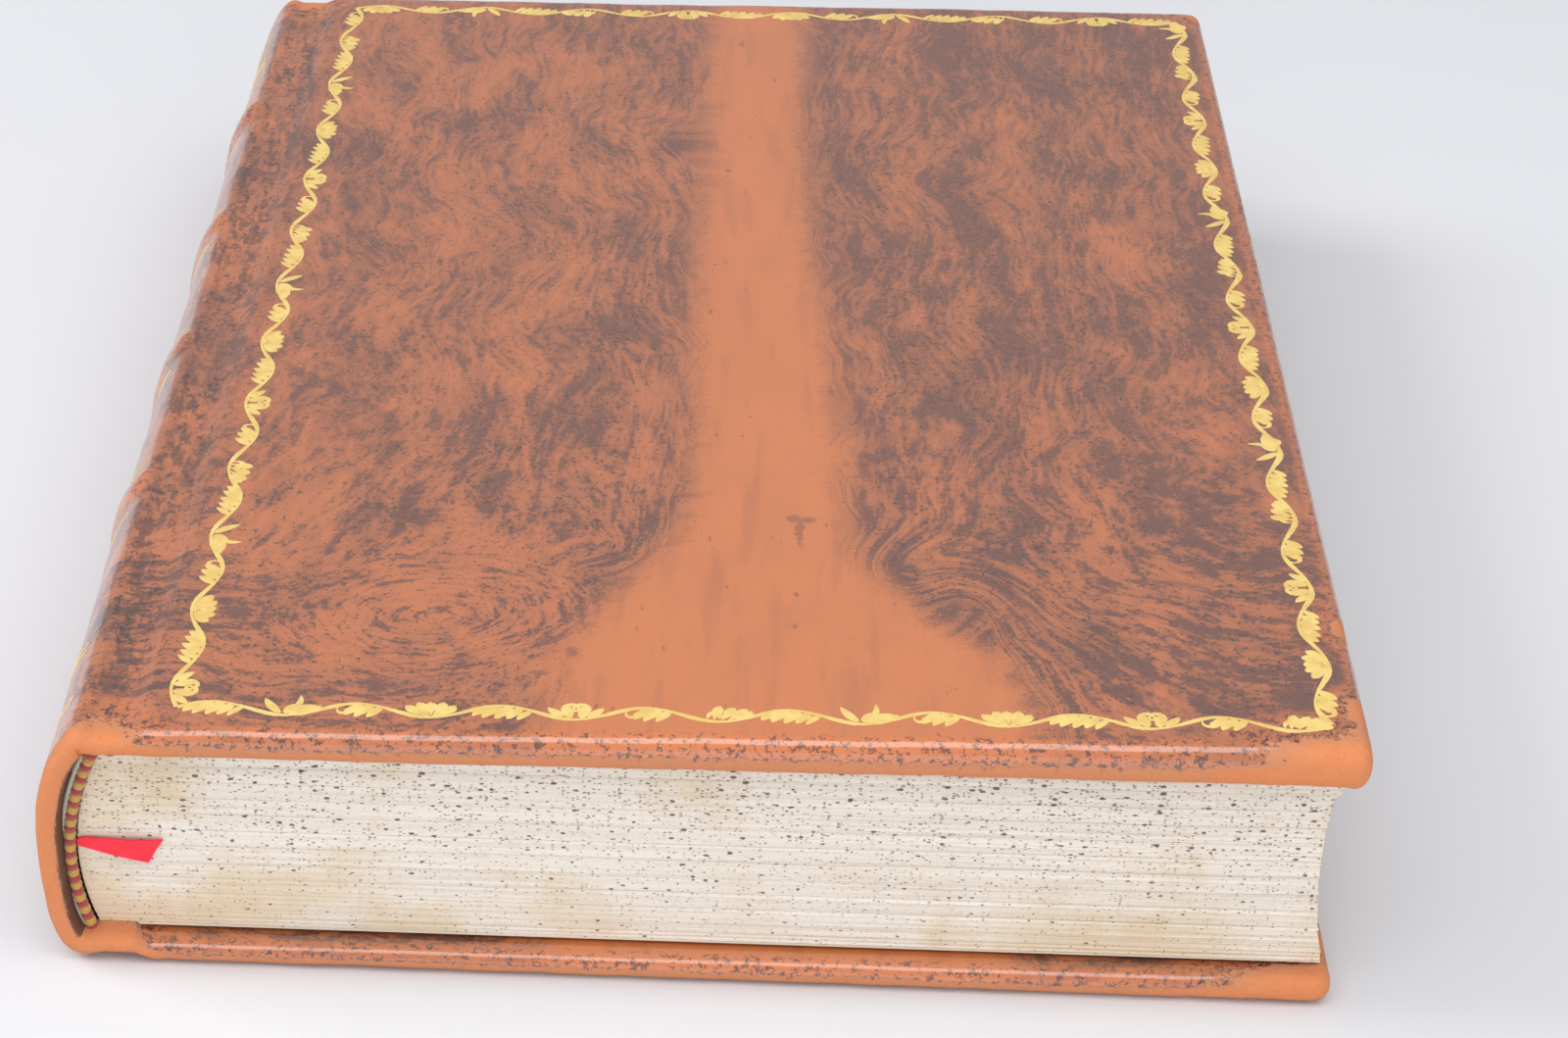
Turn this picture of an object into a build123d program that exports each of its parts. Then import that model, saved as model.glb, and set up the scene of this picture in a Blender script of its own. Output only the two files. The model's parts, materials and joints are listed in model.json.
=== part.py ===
"""Leather-bound book with a rounded hollow back, lying closed on its back cover.

Frame: +X from the spine to the fore-edge, +Y from the tail to the head, +Z up.
The origin is the middle of the box that holds the closed book, on the surface it lies on.
All sizes are in millimetres.
"""

from build123d import *
from math import atan, pi, tan
import os

# ---------------------------------------------------------------- driving dimensions
# the closed book
BOOK_W = 137.6  # crowns of the raised bands to the front cover's fore-edge
BOOK_H = 185.0  # tail to head, over the covers
JOINT_T = 29.8  # over both covers at the joints
FORE_T = 33.5  # over both covers at the fore-edge, where the pages have swollen

# covers: the boards are thicker towards the fore-edge
FRONT_T_JOINT = 3.4
FRONT_T_FORE = 4.9
BACK_T_JOINT = 2.5
BACK_T_FORE = 3.3
BACK_SETBACK = 0.7  # the back cover's fore-edge stands inside the front cover's
CORNER_R = 2.0  # cover corners, seen from above
OUTER_EDGE_R = 1.4  # rounding where a cover's face turns over its edge
INNER_EDGE_R = 0.8

# covering leather
LEATHER_T = 0.7
TURN_IN_T = 0.5  # pared leather turned over the edges
TURN_IN_W = 12.0
INFILL_CLEAR = 0.1
PASTEDOWN_T = 0.2
PASTEDOWN_MARGIN = 4.0  # leather left bare inside a cover, round the pasted-down leaf

# joints
JOINT_IN = 8.4  # spine panel's crown to the line that a cover turns on
JOINT_GAP = 0.3  # between spine leather and cover leather, at the turning line
GROOVE_D = 0.9  # the joint's groove below the cover's face
GROOVE_FLAT = 1.0
GROOVE_SLOPE = 2.6
BOARD_SETBACK = 1.6  # turning line to the board's inner edge
GROOVE_END_IN = 0.3  # the groove's leather stops short of the cover's ends

# leaves
SQUARE = 3.0  # cover beyond the leaves at head and tail
FORE_SQUARE = 2.75  # front cover beyond the leaves at the fore-edge
FLYLEAF_T = 0.2
PAGE_GAP = 0.3  # between a flyleaf and the leaf pasted to the cover
TEXT_TOP_IN = 1.4  # turning line to the spine edge of the first leaf
TEXT_LEAN = 1.3  # the last leaf's spine edge stands this much further out
TEXT_ROUND = 2.4  # rounding of the spine edge
FORE_LEAN = 0.9  # the last leaf's fore-edge stands this much further out
FORE_HOLLOW = 1.1  # hollow of the fore-edge

# sewing, linings and endbands
CORD_COUNT = 5
CORD_W = 1.4
CORD_D = 1.0
CORD_END_INSET = 18.0  # last cord to the end of the leaves
LINING_T = 0.4
ENDBAND_STANDS = 1.3  # beyond the leaves
ENDBAND_FLANGE = 5.0  # glued to the spine
ENDBAND_SILK_T = 0.85
ENDBAND_CORE_T = 0.65
ENDBAND_TRIM_TOP = 0.5  # left off the arc under the front cover
ENDBAND_TRIM_FOOT = 1.6  # left off above the heel of the spine
LINING_CLEAR = 1.0  # endband flange to lining

# spine panel
BAND_H = 0.6
BAND_W = 3.2
BAND_COUNT = 4
BAND_PITCH = 32.4
BAND_FIRST = 50.5  # tail end of the spine to the first raised band
BAND_SIDE_IN = 5.2  # a raised band stops this far from the turning line
SPINE_ROUND = 3.0  # rounding of the spine panel
CREST_IN = 1.8  # turning line to the crest of the shoulder
CREST_DROP = 0.5  # shoulder below the front cover's face
CREST_RISE = 0.4  # shoulder above the surface the book lies on
SHOULDER_R = 5.0
CREST_SHARE = 0.92  # most of the crest's flat that the shoulder's rounding may take
HEEL_R = 3.5
INLAY_T = 0.5
INLAY_IN = 3.0  # turning line to the stiffener's edge
CAP_T = 0.7  # leather folded over the ends of the spine

# ribbon marker
RIBBON_W = 3.3
RIBBON_T = 0.25
RIBBON_SLOT_CLEAR = 0.15
RIBBON_IN = 3.0  # ribbon's middle to the rounded spine edge
RIBBON_STANDS = 0.45  # clear of the leaves' tail edge where it turns over
RIBBON_TIP = 8.6  # length lying on the tail edge
RIBBON_DROP = 1.9  # the cut end hangs this much lower
RIBBON_GLUED = 15.0  # stuck to the spine at the head

# ---------------------------------------------------------------- places worked out
X_FORE = BOOK_W / 2
X_PANEL = -BOOK_W / 2 + BAND_H
X_JOINT = X_PANEL + JOINT_IN
X_BACK_FORE = X_FORE - BACK_SETBACK
X_BOARD = X_JOINT + BOARD_SETBACK
X_FACE = X_JOINT + GROOVE_FLAT + GROOVE_SLOPE
PAGE_H = BOOK_H - 2 * SQUARE
SPINE_WALL = LEATHER_T + INLAY_T + TURN_IN_T
LEAF_CLEAR = PASTEDOWN_T + PAGE_GAP + FLYLEAF_T
RIBBON_SLOT_T = RIBBON_T + 2 * RIBBON_SLOT_CLEAR
RIBBON_SLOT_W = RIBBON_W + 2 * RIBBON_SLOT_CLEAR
FAR = BOOK_W + BOOK_H  # longer than anything here, for cuts that go right through
OPEN_END = 1.0  # a cutter of the spine runs past the turning line by this much
SLOT_DEPTH = 4.0  # depth of a slot that passes a thin layer, in thicknesses of that layer


def front_outer(x):
    """Height of the front cover's outer face at x."""
    return JOINT_T + (FORE_T - JOINT_T) * (x - X_JOINT) / (X_FORE - X_JOINT)


def front_inner(x):
    """Height of the front cover's inner face at x."""
    grow = (FRONT_T_FORE - FRONT_T_JOINT) * (x - X_JOINT) / (X_FORE - X_JOINT)
    return front_outer(x) - FRONT_T_JOINT - grow


def back_outer(x):
    """Height of the back cover's outer face at x: it lies flat."""
    return 0.0


def back_inner(x):
    """Height of the back cover's inner face at x."""
    return BACK_T_JOINT + (BACK_T_FORE - BACK_T_JOINT) * (x - X_JOINT) / (X_BACK_FORE - X_JOINT)


def text_top(x):
    """Height of the first leaf at x."""
    return front_inner(x) - LEAF_CLEAR


def text_bottom(x):
    """Height of the last leaf at x."""
    return back_inner(x) + LEAF_CLEAR


X_TEXT_TOP = X_JOINT - TEXT_TOP_IN
X_TEXT_BOTTOM = X_TEXT_TOP - TEXT_LEAN
X_TEXT_CROWN = (X_TEXT_TOP + X_TEXT_BOTTOM) / 2 - TEXT_ROUND
X_FORE_TOP = X_FORE - FORE_SQUARE
X_FORE_BOTTOM = X_FORE_TOP + FORE_LEAN
X_FORE_HOLLOW = (X_FORE_TOP + X_FORE_BOTTOM) / 2 - FORE_HOLLOW
Z_MID_SPINE = (text_top(X_TEXT_TOP) + text_bottom(X_TEXT_BOTTOM)) / 2
Z_MID_FORE = (text_top(X_FORE_TOP) + text_bottom(X_FORE_BOTTOM)) / 2


# ---------------------------------------------------------------- shared outlines
def text_outline(grow=0.0):
    """End view of the leaves, rounded at the spine and hollow at the fore-edge."""
    with BuildSketch(mode=Mode.PRIVATE) as outline:
        with BuildLine():
            spine_top = (X_TEXT_TOP, text_top(X_TEXT_TOP))
            spine_bottom = (X_TEXT_BOTTOM, text_bottom(X_TEXT_BOTTOM))
            fore_top = (X_FORE_TOP, text_top(X_FORE_TOP))
            fore_bottom = (X_FORE_BOTTOM, text_bottom(X_FORE_BOTTOM))
            Line(spine_top, fore_top)
            ThreePointArc(fore_top, (X_FORE_HOLLOW, Z_MID_FORE), fore_bottom)
            Line(fore_bottom, spine_bottom)
            ThreePointArc(spine_bottom, (X_TEXT_CROWN, Z_MID_SPINE), spine_top)
        make_face()
        if grow != 0.0:
            offset(amount=grow, kind=Kind.INTERSECTION)
    return outline.sketch


def shoulder_radius(crest_flat, half_height):
    """Rounding of the shoulder, limited by the flat of its crest."""
    lean = 2 * atan(SPINE_ROUND / half_height)
    half_corner = (pi / 2 + lean) / 2
    return min(SHOULDER_R, CREST_SHARE * crest_flat * tan(half_corner))


def spine_outline(inset=0.0, reach=0.0):
    """End view of the spine panel with its shoulders, closed by a line at the joints."""
    edge_x = X_JOINT - JOINT_GAP / 2 + reach
    crest_x = X_JOINT - CREST_IN
    crest_z = JOINT_T - CREST_DROP
    groove_z = JOINT_T - GROOVE_D
    corner_x = X_PANEL + SPINE_ROUND
    with BuildSketch(mode=Mode.PRIVATE) as outline:
        with BuildLine():
            Polyline(
                (corner_x, CREST_RISE),
                (crest_x, CREST_RISE),
                (X_JOINT - GROOVE_FLAT, GROOVE_D),
                (edge_x, GROOVE_D),
                (edge_x, groove_z),
                (X_JOINT - GROOVE_FLAT, groove_z),
                (crest_x, crest_z),
                (corner_x, crest_z),
            )
            ThreePointArc((corner_x, crest_z), (X_PANEL, JOINT_T / 2), (corner_x, CREST_RISE))
        make_face()
        heel = outline.vertices().sort_by(Axis.X)[:2].sort_by(Axis.Y)[0]
        fillet(heel, radius=HEEL_R)
        shoulder = outline.vertices().sort_by(Axis.X)[:2].sort_by(Axis.Y)[-1]
        half_height = (crest_z - CREST_RISE) / 2
        fillet(shoulder, radius=shoulder_radius(crest_x - corner_x, half_height))
        if inset != 0.0:
            offset(amount=-inset, kind=Kind.INTERSECTION)
    return outline.sketch


def prism(outline, half_length, middle=0.0):
    """The outline carried half_length each way along Y from middle."""
    with BuildPart(mode=Mode.PRIVATE) as body:
        with BuildSketch(Plane.XZ.offset(-middle)):
            add(outline)
        extrude(amount=half_length, both=True)
    return body.part


def side_block(x_low, x_high, half_length):
    """A block from x_low to x_high that is taller than the book, for keeping one side."""
    with BuildPart(mode=Mode.PRIVATE) as body:
        with BuildSketch(Plane.XY.offset(-BOOK_W)):
            with Locations(((x_low + x_high) / 2, 0)):
                Rectangle(x_high - x_low, 2 * half_length)
        extrude(amount=2 * BOOK_W + FORE_T)
    return body.part


def slab(points, half_length):
    """A closed polygon in the XZ plane, carried half_length each way along Y."""
    with BuildPart(mode=Mode.PRIVATE) as body:
        with BuildSketch(Plane.XZ):
            with BuildLine():
                Polyline(*points, close=True)
            make_face()
        extrude(amount=half_length, both=True)
    return body.part


def rounded_slab(x_fore, outer, inner, shrink, outer_side):
    """A cover's plate from the end of its groove to its fore-edge, with rounded edges.

    shrink is how far every edge and face stands inside the finished cover, apart from the
    inner face, whose height the inner function gives.
    """
    towards_inside = -outer_side * shrink
    x_end = x_fore - shrink
    points = [
        (X_FACE, outer(X_FACE) + towards_inside),
        (x_end, outer(x_end) + towards_inside),
        (x_end, inner(x_end)),
        (X_FACE, inner(X_FACE)),
    ]
    with BuildPart(mode=Mode.PRIVATE) as body:
        add(slab(points, BOOK_H / 2 - shrink))
        uprights = body.edges().filter_by(Axis.Z).group_by(Axis.X)[-1]
        fillet(uprights, radius=CORNER_R - shrink / 2)
        outside = body.faces().sort_by(Axis.Z)[-1 if outer_side > 0 else 0]
        fillet(outside.edges().sort_by(Axis.X)[1:], radius=OUTER_EDGE_R - shrink / 2)
        inside = body.faces().sort_by(Axis.Z)[0 if outer_side > 0 else -1]
        fillet(inside.edges().sort_by(Axis.X)[1:], radius=INNER_EDGE_R - shrink / 2)
    return body.part


# ---------------------------------------------------------------- covers
def make_cover(name, x_fore, outer, inner, outer_side):
    """Board, leather, infill and pasted-down leaf of one cover, as a list of labelled parts.

    outer_side is +1 where the cover's face looks up and -1 where it looks down.
    """

    def outside(x, depth):
        return outer(x) - outer_side * depth

    def inside(x, depth):
        return inner(x) + outer_side * depth

    x_edge = X_JOINT + JOINT_GAP / 2
    x_flat = X_JOINT + GROOVE_FLAT
    groove = outer(X_JOINT) - outer_side * GROOVE_D
    under_groove = groove - outer_side * LEATHER_T
    strip_half = BOOK_H / 2 - GROOVE_END_IN

    with BuildPart() as board:
        add(rounded_slab(x_fore, outer, lambda x: inside(x, TURN_IN_T), LEATHER_T, outer_side))
        joint_edge = [
            (X_BOARD, under_groove),
            (X_FACE, outside(X_FACE, LEATHER_T)),
            (X_FACE, inside(X_FACE, TURN_IN_T)),
            (X_BOARD, inside(X_BOARD, TURN_IN_T)),
        ]
        add(slab(joint_edge, strip_half - LEATHER_T))
    board.part.label = name + "_board"

    infill_half = BOOK_H / 2 - TURN_IN_W
    pocket_end = x_fore - TURN_IN_W
    pocket = [
        (X_BOARD, inside(X_BOARD, 0)),
        (pocket_end, inside(pocket_end, 0)),
        (pocket_end, inside(pocket_end, TURN_IN_T)),
        (X_BOARD, inside(X_BOARD, TURN_IN_T)),
    ]

    with BuildPart() as leather:
        add(rounded_slab(x_fore, outer, inner, 0.0, outer_side))
        joint_strip = [
            (x_edge, groove),
            (x_flat, groove),
            (X_FACE, outside(X_FACE, 0)),
            (X_FACE, inside(X_FACE, 0)),
            (X_BOARD, inside(X_BOARD, 0)),
            (X_BOARD, under_groove),
            (x_edge, under_groove),
        ]
        add(slab(joint_strip, strip_half))
        add(board.part, mode=Mode.SUBTRACT)
        add(slab(pocket, infill_half), mode=Mode.SUBTRACT)
    leather.part.label = name + "_cover_leather"

    infill_end = pocket_end - INFILL_CLEAR
    with BuildPart() as infill:
        sheet = [
            (X_BOARD, inside(X_BOARD, 0)),
            (infill_end, inside(infill_end, 0)),
            (infill_end, inside(infill_end, TURN_IN_T)),
            (X_BOARD, inside(X_BOARD, TURN_IN_T)),
        ]
        add(slab(sheet, infill_half - INFILL_CLEAR))
    infill.part.label = name + "_infill"

    leaf_end = x_fore - PASTEDOWN_MARGIN
    with BuildPart() as pastedown:
        leaf = [
            (X_BOARD, inside(X_BOARD, 0)),
            (leaf_end, inside(leaf_end, 0)),
            (leaf_end, inside(leaf_end, -PASTEDOWN_T)),
            (X_BOARD, inside(X_BOARD, -PASTEDOWN_T)),
        ]
        add(slab(leaf, BOOK_H / 2 - PASTEDOWN_MARGIN))
    pastedown.part.label = name + "_pastedown"
    return [board.part, leather.part, infill.part, pastedown.part]


front_cover = make_cover("front", X_FORE, front_outer, front_inner, 1)
back_cover = make_cover("back", X_BACK_FORE, back_outer, back_inner, -1)

# ---------------------------------------------------------------- leaves and sewing
cord_span = PAGE_H - 2 * CORD_END_INSET
cord_places = [cord_span * (i / (CORD_COUNT - 1) - 0.5) for i in range(CORD_COUNT)]
spine_half = side_block(-FAR, X_TEXT_TOP - CORD_D, FAR)

sewing_cords = []
for number, cord_y in enumerate(cord_places, start=1):
    with BuildPart() as cord:
        add(prism(text_outline(), CORD_W / 2, cord_y))
        add(prism(text_outline(-CORD_D), CORD_W, cord_y), mode=Mode.SUBTRACT)
        add(spine_half, mode=Mode.INTERSECT)
    cord.part.label = "sewing_cord_" + str(number)
    sewing_cords.append(cord.part)

ribbon_x = X_TEXT_CROWN + RIBBON_IN
with BuildPart() as text_block:
    add(prism(text_outline(), PAGE_H / 2))
    with BuildSketch(Plane.XZ):
        with Locations((ribbon_x, Z_MID_SPINE)):
            Rectangle(RIBBON_SLOT_W, RIBBON_SLOT_T)
    extrude(amount=PAGE_H, both=True, mode=Mode.SUBTRACT)
    for cord_part in sewing_cords:
        add(cord_part, mode=Mode.SUBTRACT)
text_block.part.label = "text_block"


def make_flyleaf(label, height, x_spine, x_fore, side):
    """A loose leaf lying on the first or under the last leaf."""
    with BuildPart() as leaf:
        points = [
            (x_spine, height(x_spine)),
            (x_fore, height(x_fore)),
            (x_fore, height(x_fore) + side * FLYLEAF_T),
            (x_spine, height(x_spine) + side * FLYLEAF_T),
        ]
        add(slab(points, PAGE_H / 2))
    leaf.part.label = label
    return leaf.part


front_flyleaf = make_flyleaf("front_flyleaf", text_top, X_TEXT_TOP, X_FORE_TOP, 1)
back_flyleaf = make_flyleaf("back_flyleaf", text_bottom, X_TEXT_BOTTOM, X_FORE_BOTTOM, -1)

# ---------------------------------------------------------------- spine lining and endbands
band_low = text_bottom(X_TEXT_BOTTOM) + ENDBAND_TRIM_FOOT
band_high = text_top(X_TEXT_TOP) - ENDBAND_TRIM_TOP


def spine_skin(near, far, z_low, z_high):
    """End view of a layer that follows the rounded spine edge, from near to far outside it."""
    with BuildSketch(mode=Mode.PRIVATE) as skin:
        add(text_outline(far))
        add(text_outline(near), mode=Mode.SUBTRACT)
        with Locations((X_TEXT_TOP - FAR / 2, (z_low + z_high) / 2)):
            Rectangle(FAR, z_high - z_low, mode=Mode.INTERSECT)
    return skin.sketch


spine_crown = text_outline().bounding_box().min.X
lining_half = PAGE_H / 2 - ENDBAND_FLANGE - LINING_CLEAR
with BuildPart() as spine_lining:
    add(prism(spine_skin(0, LINING_T, band_low, band_high), lining_half))
    with BuildSketch(Plane.XZ.offset(RIBBON_GLUED + RIBBON_SLOT_CLEAR - PAGE_H / 2)):
        with Locations((spine_crown, Z_MID_SPINE)):
            Rectangle(SLOT_DEPTH * LINING_T, RIBBON_SLOT_W)
    extrude(amount=-RIBBON_GLUED, mode=Mode.SUBTRACT)
spine_lining.part.label = "spine_lining"


def make_endband(end, layer, near, far, stands):
    """One layer of the endband at the tail (end -1) or the head (end +1)."""
    start = -end * (PAGE_H / 2 - ENDBAND_FLANGE)
    with BuildPart() as band:
        with BuildSketch(Plane.XZ.offset(start)):
            add(spine_skin(near, far, band_low, band_high))
        extrude(amount=-end * (ENDBAND_FLANGE + stands))
        if end > 0:
            with BuildSketch(Plane.XZ.offset(start + ENDBAND_FLANGE)):
                with Locations((spine_crown, Z_MID_SPINE)):
                    Rectangle(SLOT_DEPTH * RIBBON_T, RIBBON_SLOT_W)
            extrude(amount=2 * ENDBAND_FLANGE + stands, both=True, mode=Mode.SUBTRACT)
    band.part.label = ("head" if end > 0 else "tail") + "_endband_" + layer
    return band.part


endband_outside = ENDBAND_SILK_T + ENDBAND_CORE_T
endbands = []
for band_end in (-1, 1):
    endbands.append(make_endband(band_end, "silk", 0, ENDBAND_SILK_T, ENDBAND_STANDS))
    endbands.append(
        make_endband(band_end, "core", ENDBAND_SILK_T, endband_outside, ENDBAND_STANDS - RIBBON_T)
    )

# ---------------------------------------------------------------- spine panel
inlay_side = side_block(-FAR, X_JOINT - INLAY_IN, FAR)
band_side = side_block(-FAR, X_JOINT - BAND_SIDE_IN, FAR)
ridge_side = side_block(-FAR, X_JOINT - BAND_SIDE_IN + LEATHER_T, FAR)
band_places = [-BOOK_H / 2 + BAND_FIRST + i * BAND_PITCH for i in range(BAND_COUNT)]

with BuildPart() as spine_inlay:
    add(prism(spine_outline(LEATHER_T, OPEN_END), BOOK_H / 2 - CAP_T))
    add(prism(spine_outline(LEATHER_T + INLAY_T, OPEN_END), FAR), mode=Mode.SUBTRACT)
    add(inlay_side, mode=Mode.INTERSECT)
spine_inlay.part.label = "spine_inlay"

raised_bands = []
for number, band_y in enumerate(band_places, start=1):
    with BuildPart() as raised_band:
        add(prism(spine_outline(LEATHER_T - BAND_H), BAND_W / 2, band_y))
        add(prism(spine_outline(LEATHER_T, OPEN_END), BAND_W, band_y), mode=Mode.SUBTRACT)
        add(band_side, mode=Mode.INTERSECT)
    raised_band.part.label = "raised_band_" + str(number)
    raised_bands.append(raised_band.part)

with BuildPart() as ridges:
    for band_y in band_places:
        add(prism(spine_outline(-BAND_H), BAND_W / 2 + LEATHER_T, band_y))
    add(ridge_side, mode=Mode.INTERSECT)

with BuildPart() as spine_leather:
    add(prism(spine_outline(), BOOK_H / 2))
    add(ridges.part)
    add(prism(spine_outline(LEATHER_T, OPEN_END), BOOK_H / 2 - CAP_T), mode=Mode.SUBTRACT)
    add(prism(spine_outline(SPINE_WALL, OPEN_END), FAR), mode=Mode.SUBTRACT)
    with BuildPart(mode=Mode.PRIVATE) as joint_side:
        add(prism(spine_outline(LEATHER_T, OPEN_END), FAR))
        add(inlay_side, mode=Mode.SUBTRACT)
    add(joint_side.part, mode=Mode.SUBTRACT)
    with BuildPart(mode=Mode.PRIVATE) as turn_ins:
        add(prism(spine_outline(LEATHER_T + INLAY_T, OPEN_END), BOOK_H / 2 - CAP_T))
        add(prism(spine_outline(SPINE_WALL, OPEN_END), FAR), mode=Mode.SUBTRACT)
        add(prism(spine_outline(-OPEN_END, 2 * OPEN_END), BOOK_H / 2 - TURN_IN_W), mode=Mode.SUBTRACT)
        add(inlay_side, mode=Mode.INTERSECT)
    add(turn_ins.part)
    for band_part in raised_bands:
        add(band_part, mode=Mode.SUBTRACT)
spine_leather.part.label = "spine_leather"

# ---------------------------------------------------------------- ribbon marker
ribbon_out = -PAGE_H / 2 - RIBBON_STANDS
with BuildPart() as ribbon_marker:
    with BuildSketch(Plane.XZ.offset(-ribbon_out)):
        with Locations((ribbon_x, Z_MID_SPINE)):
            Rectangle(RIBBON_W, RIBBON_T)
    run = PAGE_H + 2 * RIBBON_STANDS
    extrude(amount=-run)
    with BuildSketch(Plane.XZ.offset(-ribbon_out)):
        with BuildLine():
            Polyline(
                (ribbon_x - RIBBON_W / 2, Z_MID_SPINE + RIBBON_T / 2),
                (ribbon_x - RIBBON_W / 2, Z_MID_SPINE - RIBBON_W / 4),
                (ribbon_x - RIBBON_W / 2 + RIBBON_TIP - RIBBON_DROP, Z_MID_SPINE - RIBBON_W),
                (ribbon_x - RIBBON_W / 2 + RIBBON_TIP, Z_MID_SPINE + RIBBON_T / 2),
                close=True,
            )
        make_face()
    extrude(amount=-RIBBON_T)
    x_glued = spine_crown - RIBBON_T
    y_over = PAGE_H / 2 + RIBBON_STANDS
    with BuildSketch(Plane.XY.offset(Z_MID_SPINE - RIBBON_W / 2)):
        with BuildLine():
            Polyline(
                (ribbon_x, y_over - RIBBON_T),
                (ribbon_x, y_over),
                (x_glued, y_over),
                (x_glued, PAGE_H / 2 - RIBBON_GLUED),
                (spine_crown, PAGE_H / 2 - RIBBON_GLUED),
                (spine_crown, y_over - RIBBON_T),
                close=True,
            )
        make_face()
    extrude(amount=RIBBON_W)
ribbon_marker.part.label = "ribbon_marker"

# ---------------------------------------------------------------- files
os.makedirs("parts", exist_ok=True)
nodes = [
    text_block.part,
    front_flyleaf,
    back_flyleaf,
    spine_lining.part,
    spine_inlay.part,
    spine_leather.part,
    ribbon_marker.part,
]
nodes += sewing_cords + endbands + raised_bands + front_cover + back_cover
for node in nodes:
    export_step(node, "parts/" + node.label + ".step")
    print(node.label, len(node.solids()), round(node.volume, 2))
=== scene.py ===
"""An antique book bound in tree-marbled calf, dressed around its packed construction.

+X runs from the spine to the fore-edge, +Y from the tail to the head and +Z up through the
closed book. Shapes are worked out in millimetres and written to the meshes in metres.
"""

import json
import logging
import math
from dataclasses import dataclass, field
from enum import Enum
from typing import Sequence

import bpy
import numpy as np
from mathutils import Matrix, Vector


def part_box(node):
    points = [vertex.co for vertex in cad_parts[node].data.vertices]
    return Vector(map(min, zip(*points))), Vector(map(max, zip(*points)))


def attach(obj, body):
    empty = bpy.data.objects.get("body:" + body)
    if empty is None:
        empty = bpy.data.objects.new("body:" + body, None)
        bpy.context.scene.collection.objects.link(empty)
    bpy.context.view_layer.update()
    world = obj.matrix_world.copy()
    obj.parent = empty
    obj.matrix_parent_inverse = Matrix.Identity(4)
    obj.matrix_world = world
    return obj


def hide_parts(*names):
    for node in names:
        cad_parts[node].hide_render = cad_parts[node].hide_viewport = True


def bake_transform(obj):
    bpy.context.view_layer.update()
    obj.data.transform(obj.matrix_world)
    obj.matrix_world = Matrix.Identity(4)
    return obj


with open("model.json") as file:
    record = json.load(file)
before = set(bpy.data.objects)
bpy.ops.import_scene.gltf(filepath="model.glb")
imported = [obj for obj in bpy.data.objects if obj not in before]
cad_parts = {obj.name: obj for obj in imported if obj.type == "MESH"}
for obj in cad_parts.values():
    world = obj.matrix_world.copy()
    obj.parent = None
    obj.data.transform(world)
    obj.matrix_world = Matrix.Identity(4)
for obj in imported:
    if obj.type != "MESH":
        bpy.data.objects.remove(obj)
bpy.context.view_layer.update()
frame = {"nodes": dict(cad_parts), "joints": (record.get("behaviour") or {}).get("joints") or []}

MM = 0.001
UV_PER_MM = 0.01
Array = np.ndarray
log = logging.getLogger("antique_book")


# ------------------------------------------------------------------ places in the frame
@dataclass(frozen=True)
class Slope:
    """A straight line in the end view of the book, from one known point to another."""

    x0: float
    z0: float
    x1: float
    z1: float

    def at(self, x: Array | float) -> Array | float:
        """Height of the line at x."""
        return self.z0 + (self.z1 - self.z0) * (x - self.x0) / (self.x1 - self.x0)


@dataclass(frozen=True)
class Side:
    """One cover's outer and inner face and its fore-edge. It faces up with 1, down with -1."""

    face: Slope
    inside: Slope
    x_fore: float
    up: int


class Places:
    """Every place that the dressing needs, in millimetres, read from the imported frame."""

    leaf_t: float = 0.2
    edge_round: float = 1.4
    band_h: float = 0.6
    round_spine: float = 2.4

    def __init__(self) -> None:
        """Read the joints and the boxes of the nodes."""
        joint = {j["name"]: j for j in frame["joints"]}["front_joint"]
        self.x_joint = joint["pos_m"][0] / MM
        self.joint_t = joint["pos_m"][2] / MM
        _, front_high = self.box("front_cover_leather")
        _, back_high = self.box("back_cover_leather")
        spine_low, _ = self.box("spine_leather")
        self.half_h = front_high[1]
        self.x_fore = front_high[0]
        self.x_panel = spine_low[0] + self.band_h
        x_crest = self.x_fore - self.edge_round
        front_face = Slope(self.x_joint, self.joint_t, x_crest, front_high[2])
        low, high = self.box("front_pastedown")
        front_inside = Slope(low[0], low[2] + self.leaf_t, high[0], high[2])
        self.front = Side(front_face, front_inside, self.x_fore, 1)
        x_back_fore = back_high[0]
        back_face = Slope(self.x_joint, 0.0, x_back_fore, 0.0)
        low, high = self.box("back_pastedown")
        back_inside = Slope(low[0], low[2], high[0], high[2] - self.leaf_t)
        self.back = Side(back_face, back_inside, x_back_fore, -1)
        low, high = self.box("front_flyleaf")
        self.leaves_top = Slope(low[0], low[2], high[0], high[2] - self.leaf_t)
        self.x_leaves_top = low[0]
        self.x_fore_top = high[0]
        low, high = self.box("back_flyleaf")
        self.leaves_bottom = Slope(low[0], low[2] + self.leaf_t, high[0], high[2])
        self.x_leaves_bottom = low[0]
        self.x_fore_bottom = high[0]
        low, high = self.box("text_block")
        self.x_crown = low[0]
        self.page_half = high[1]
        self.bands = []
        for number in range(1, 5):
            low, high = self.box(f"raised_band_{number}")
            self.bands.append((low[1] + high[1]) / 2)

    @staticmethod
    def box(node: str) -> tuple[Array, Array]:
        """Lowest and highest corner of a node, in millimetres."""
        low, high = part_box(node)
        return np.array(low) / MM, np.array(high) / MM

    def side(self, front: bool) -> Side:
        """The front cover's side, or the back cover's."""
        return self.front if front else self.back

    def spine_edge(self, share: Array) -> Array:
        """Place across the book of the leaves' round spine edge, at a share of their height."""
        return bowed(share, self.x_leaves_bottom, self.x_leaves_top, -self.round_spine)


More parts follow.
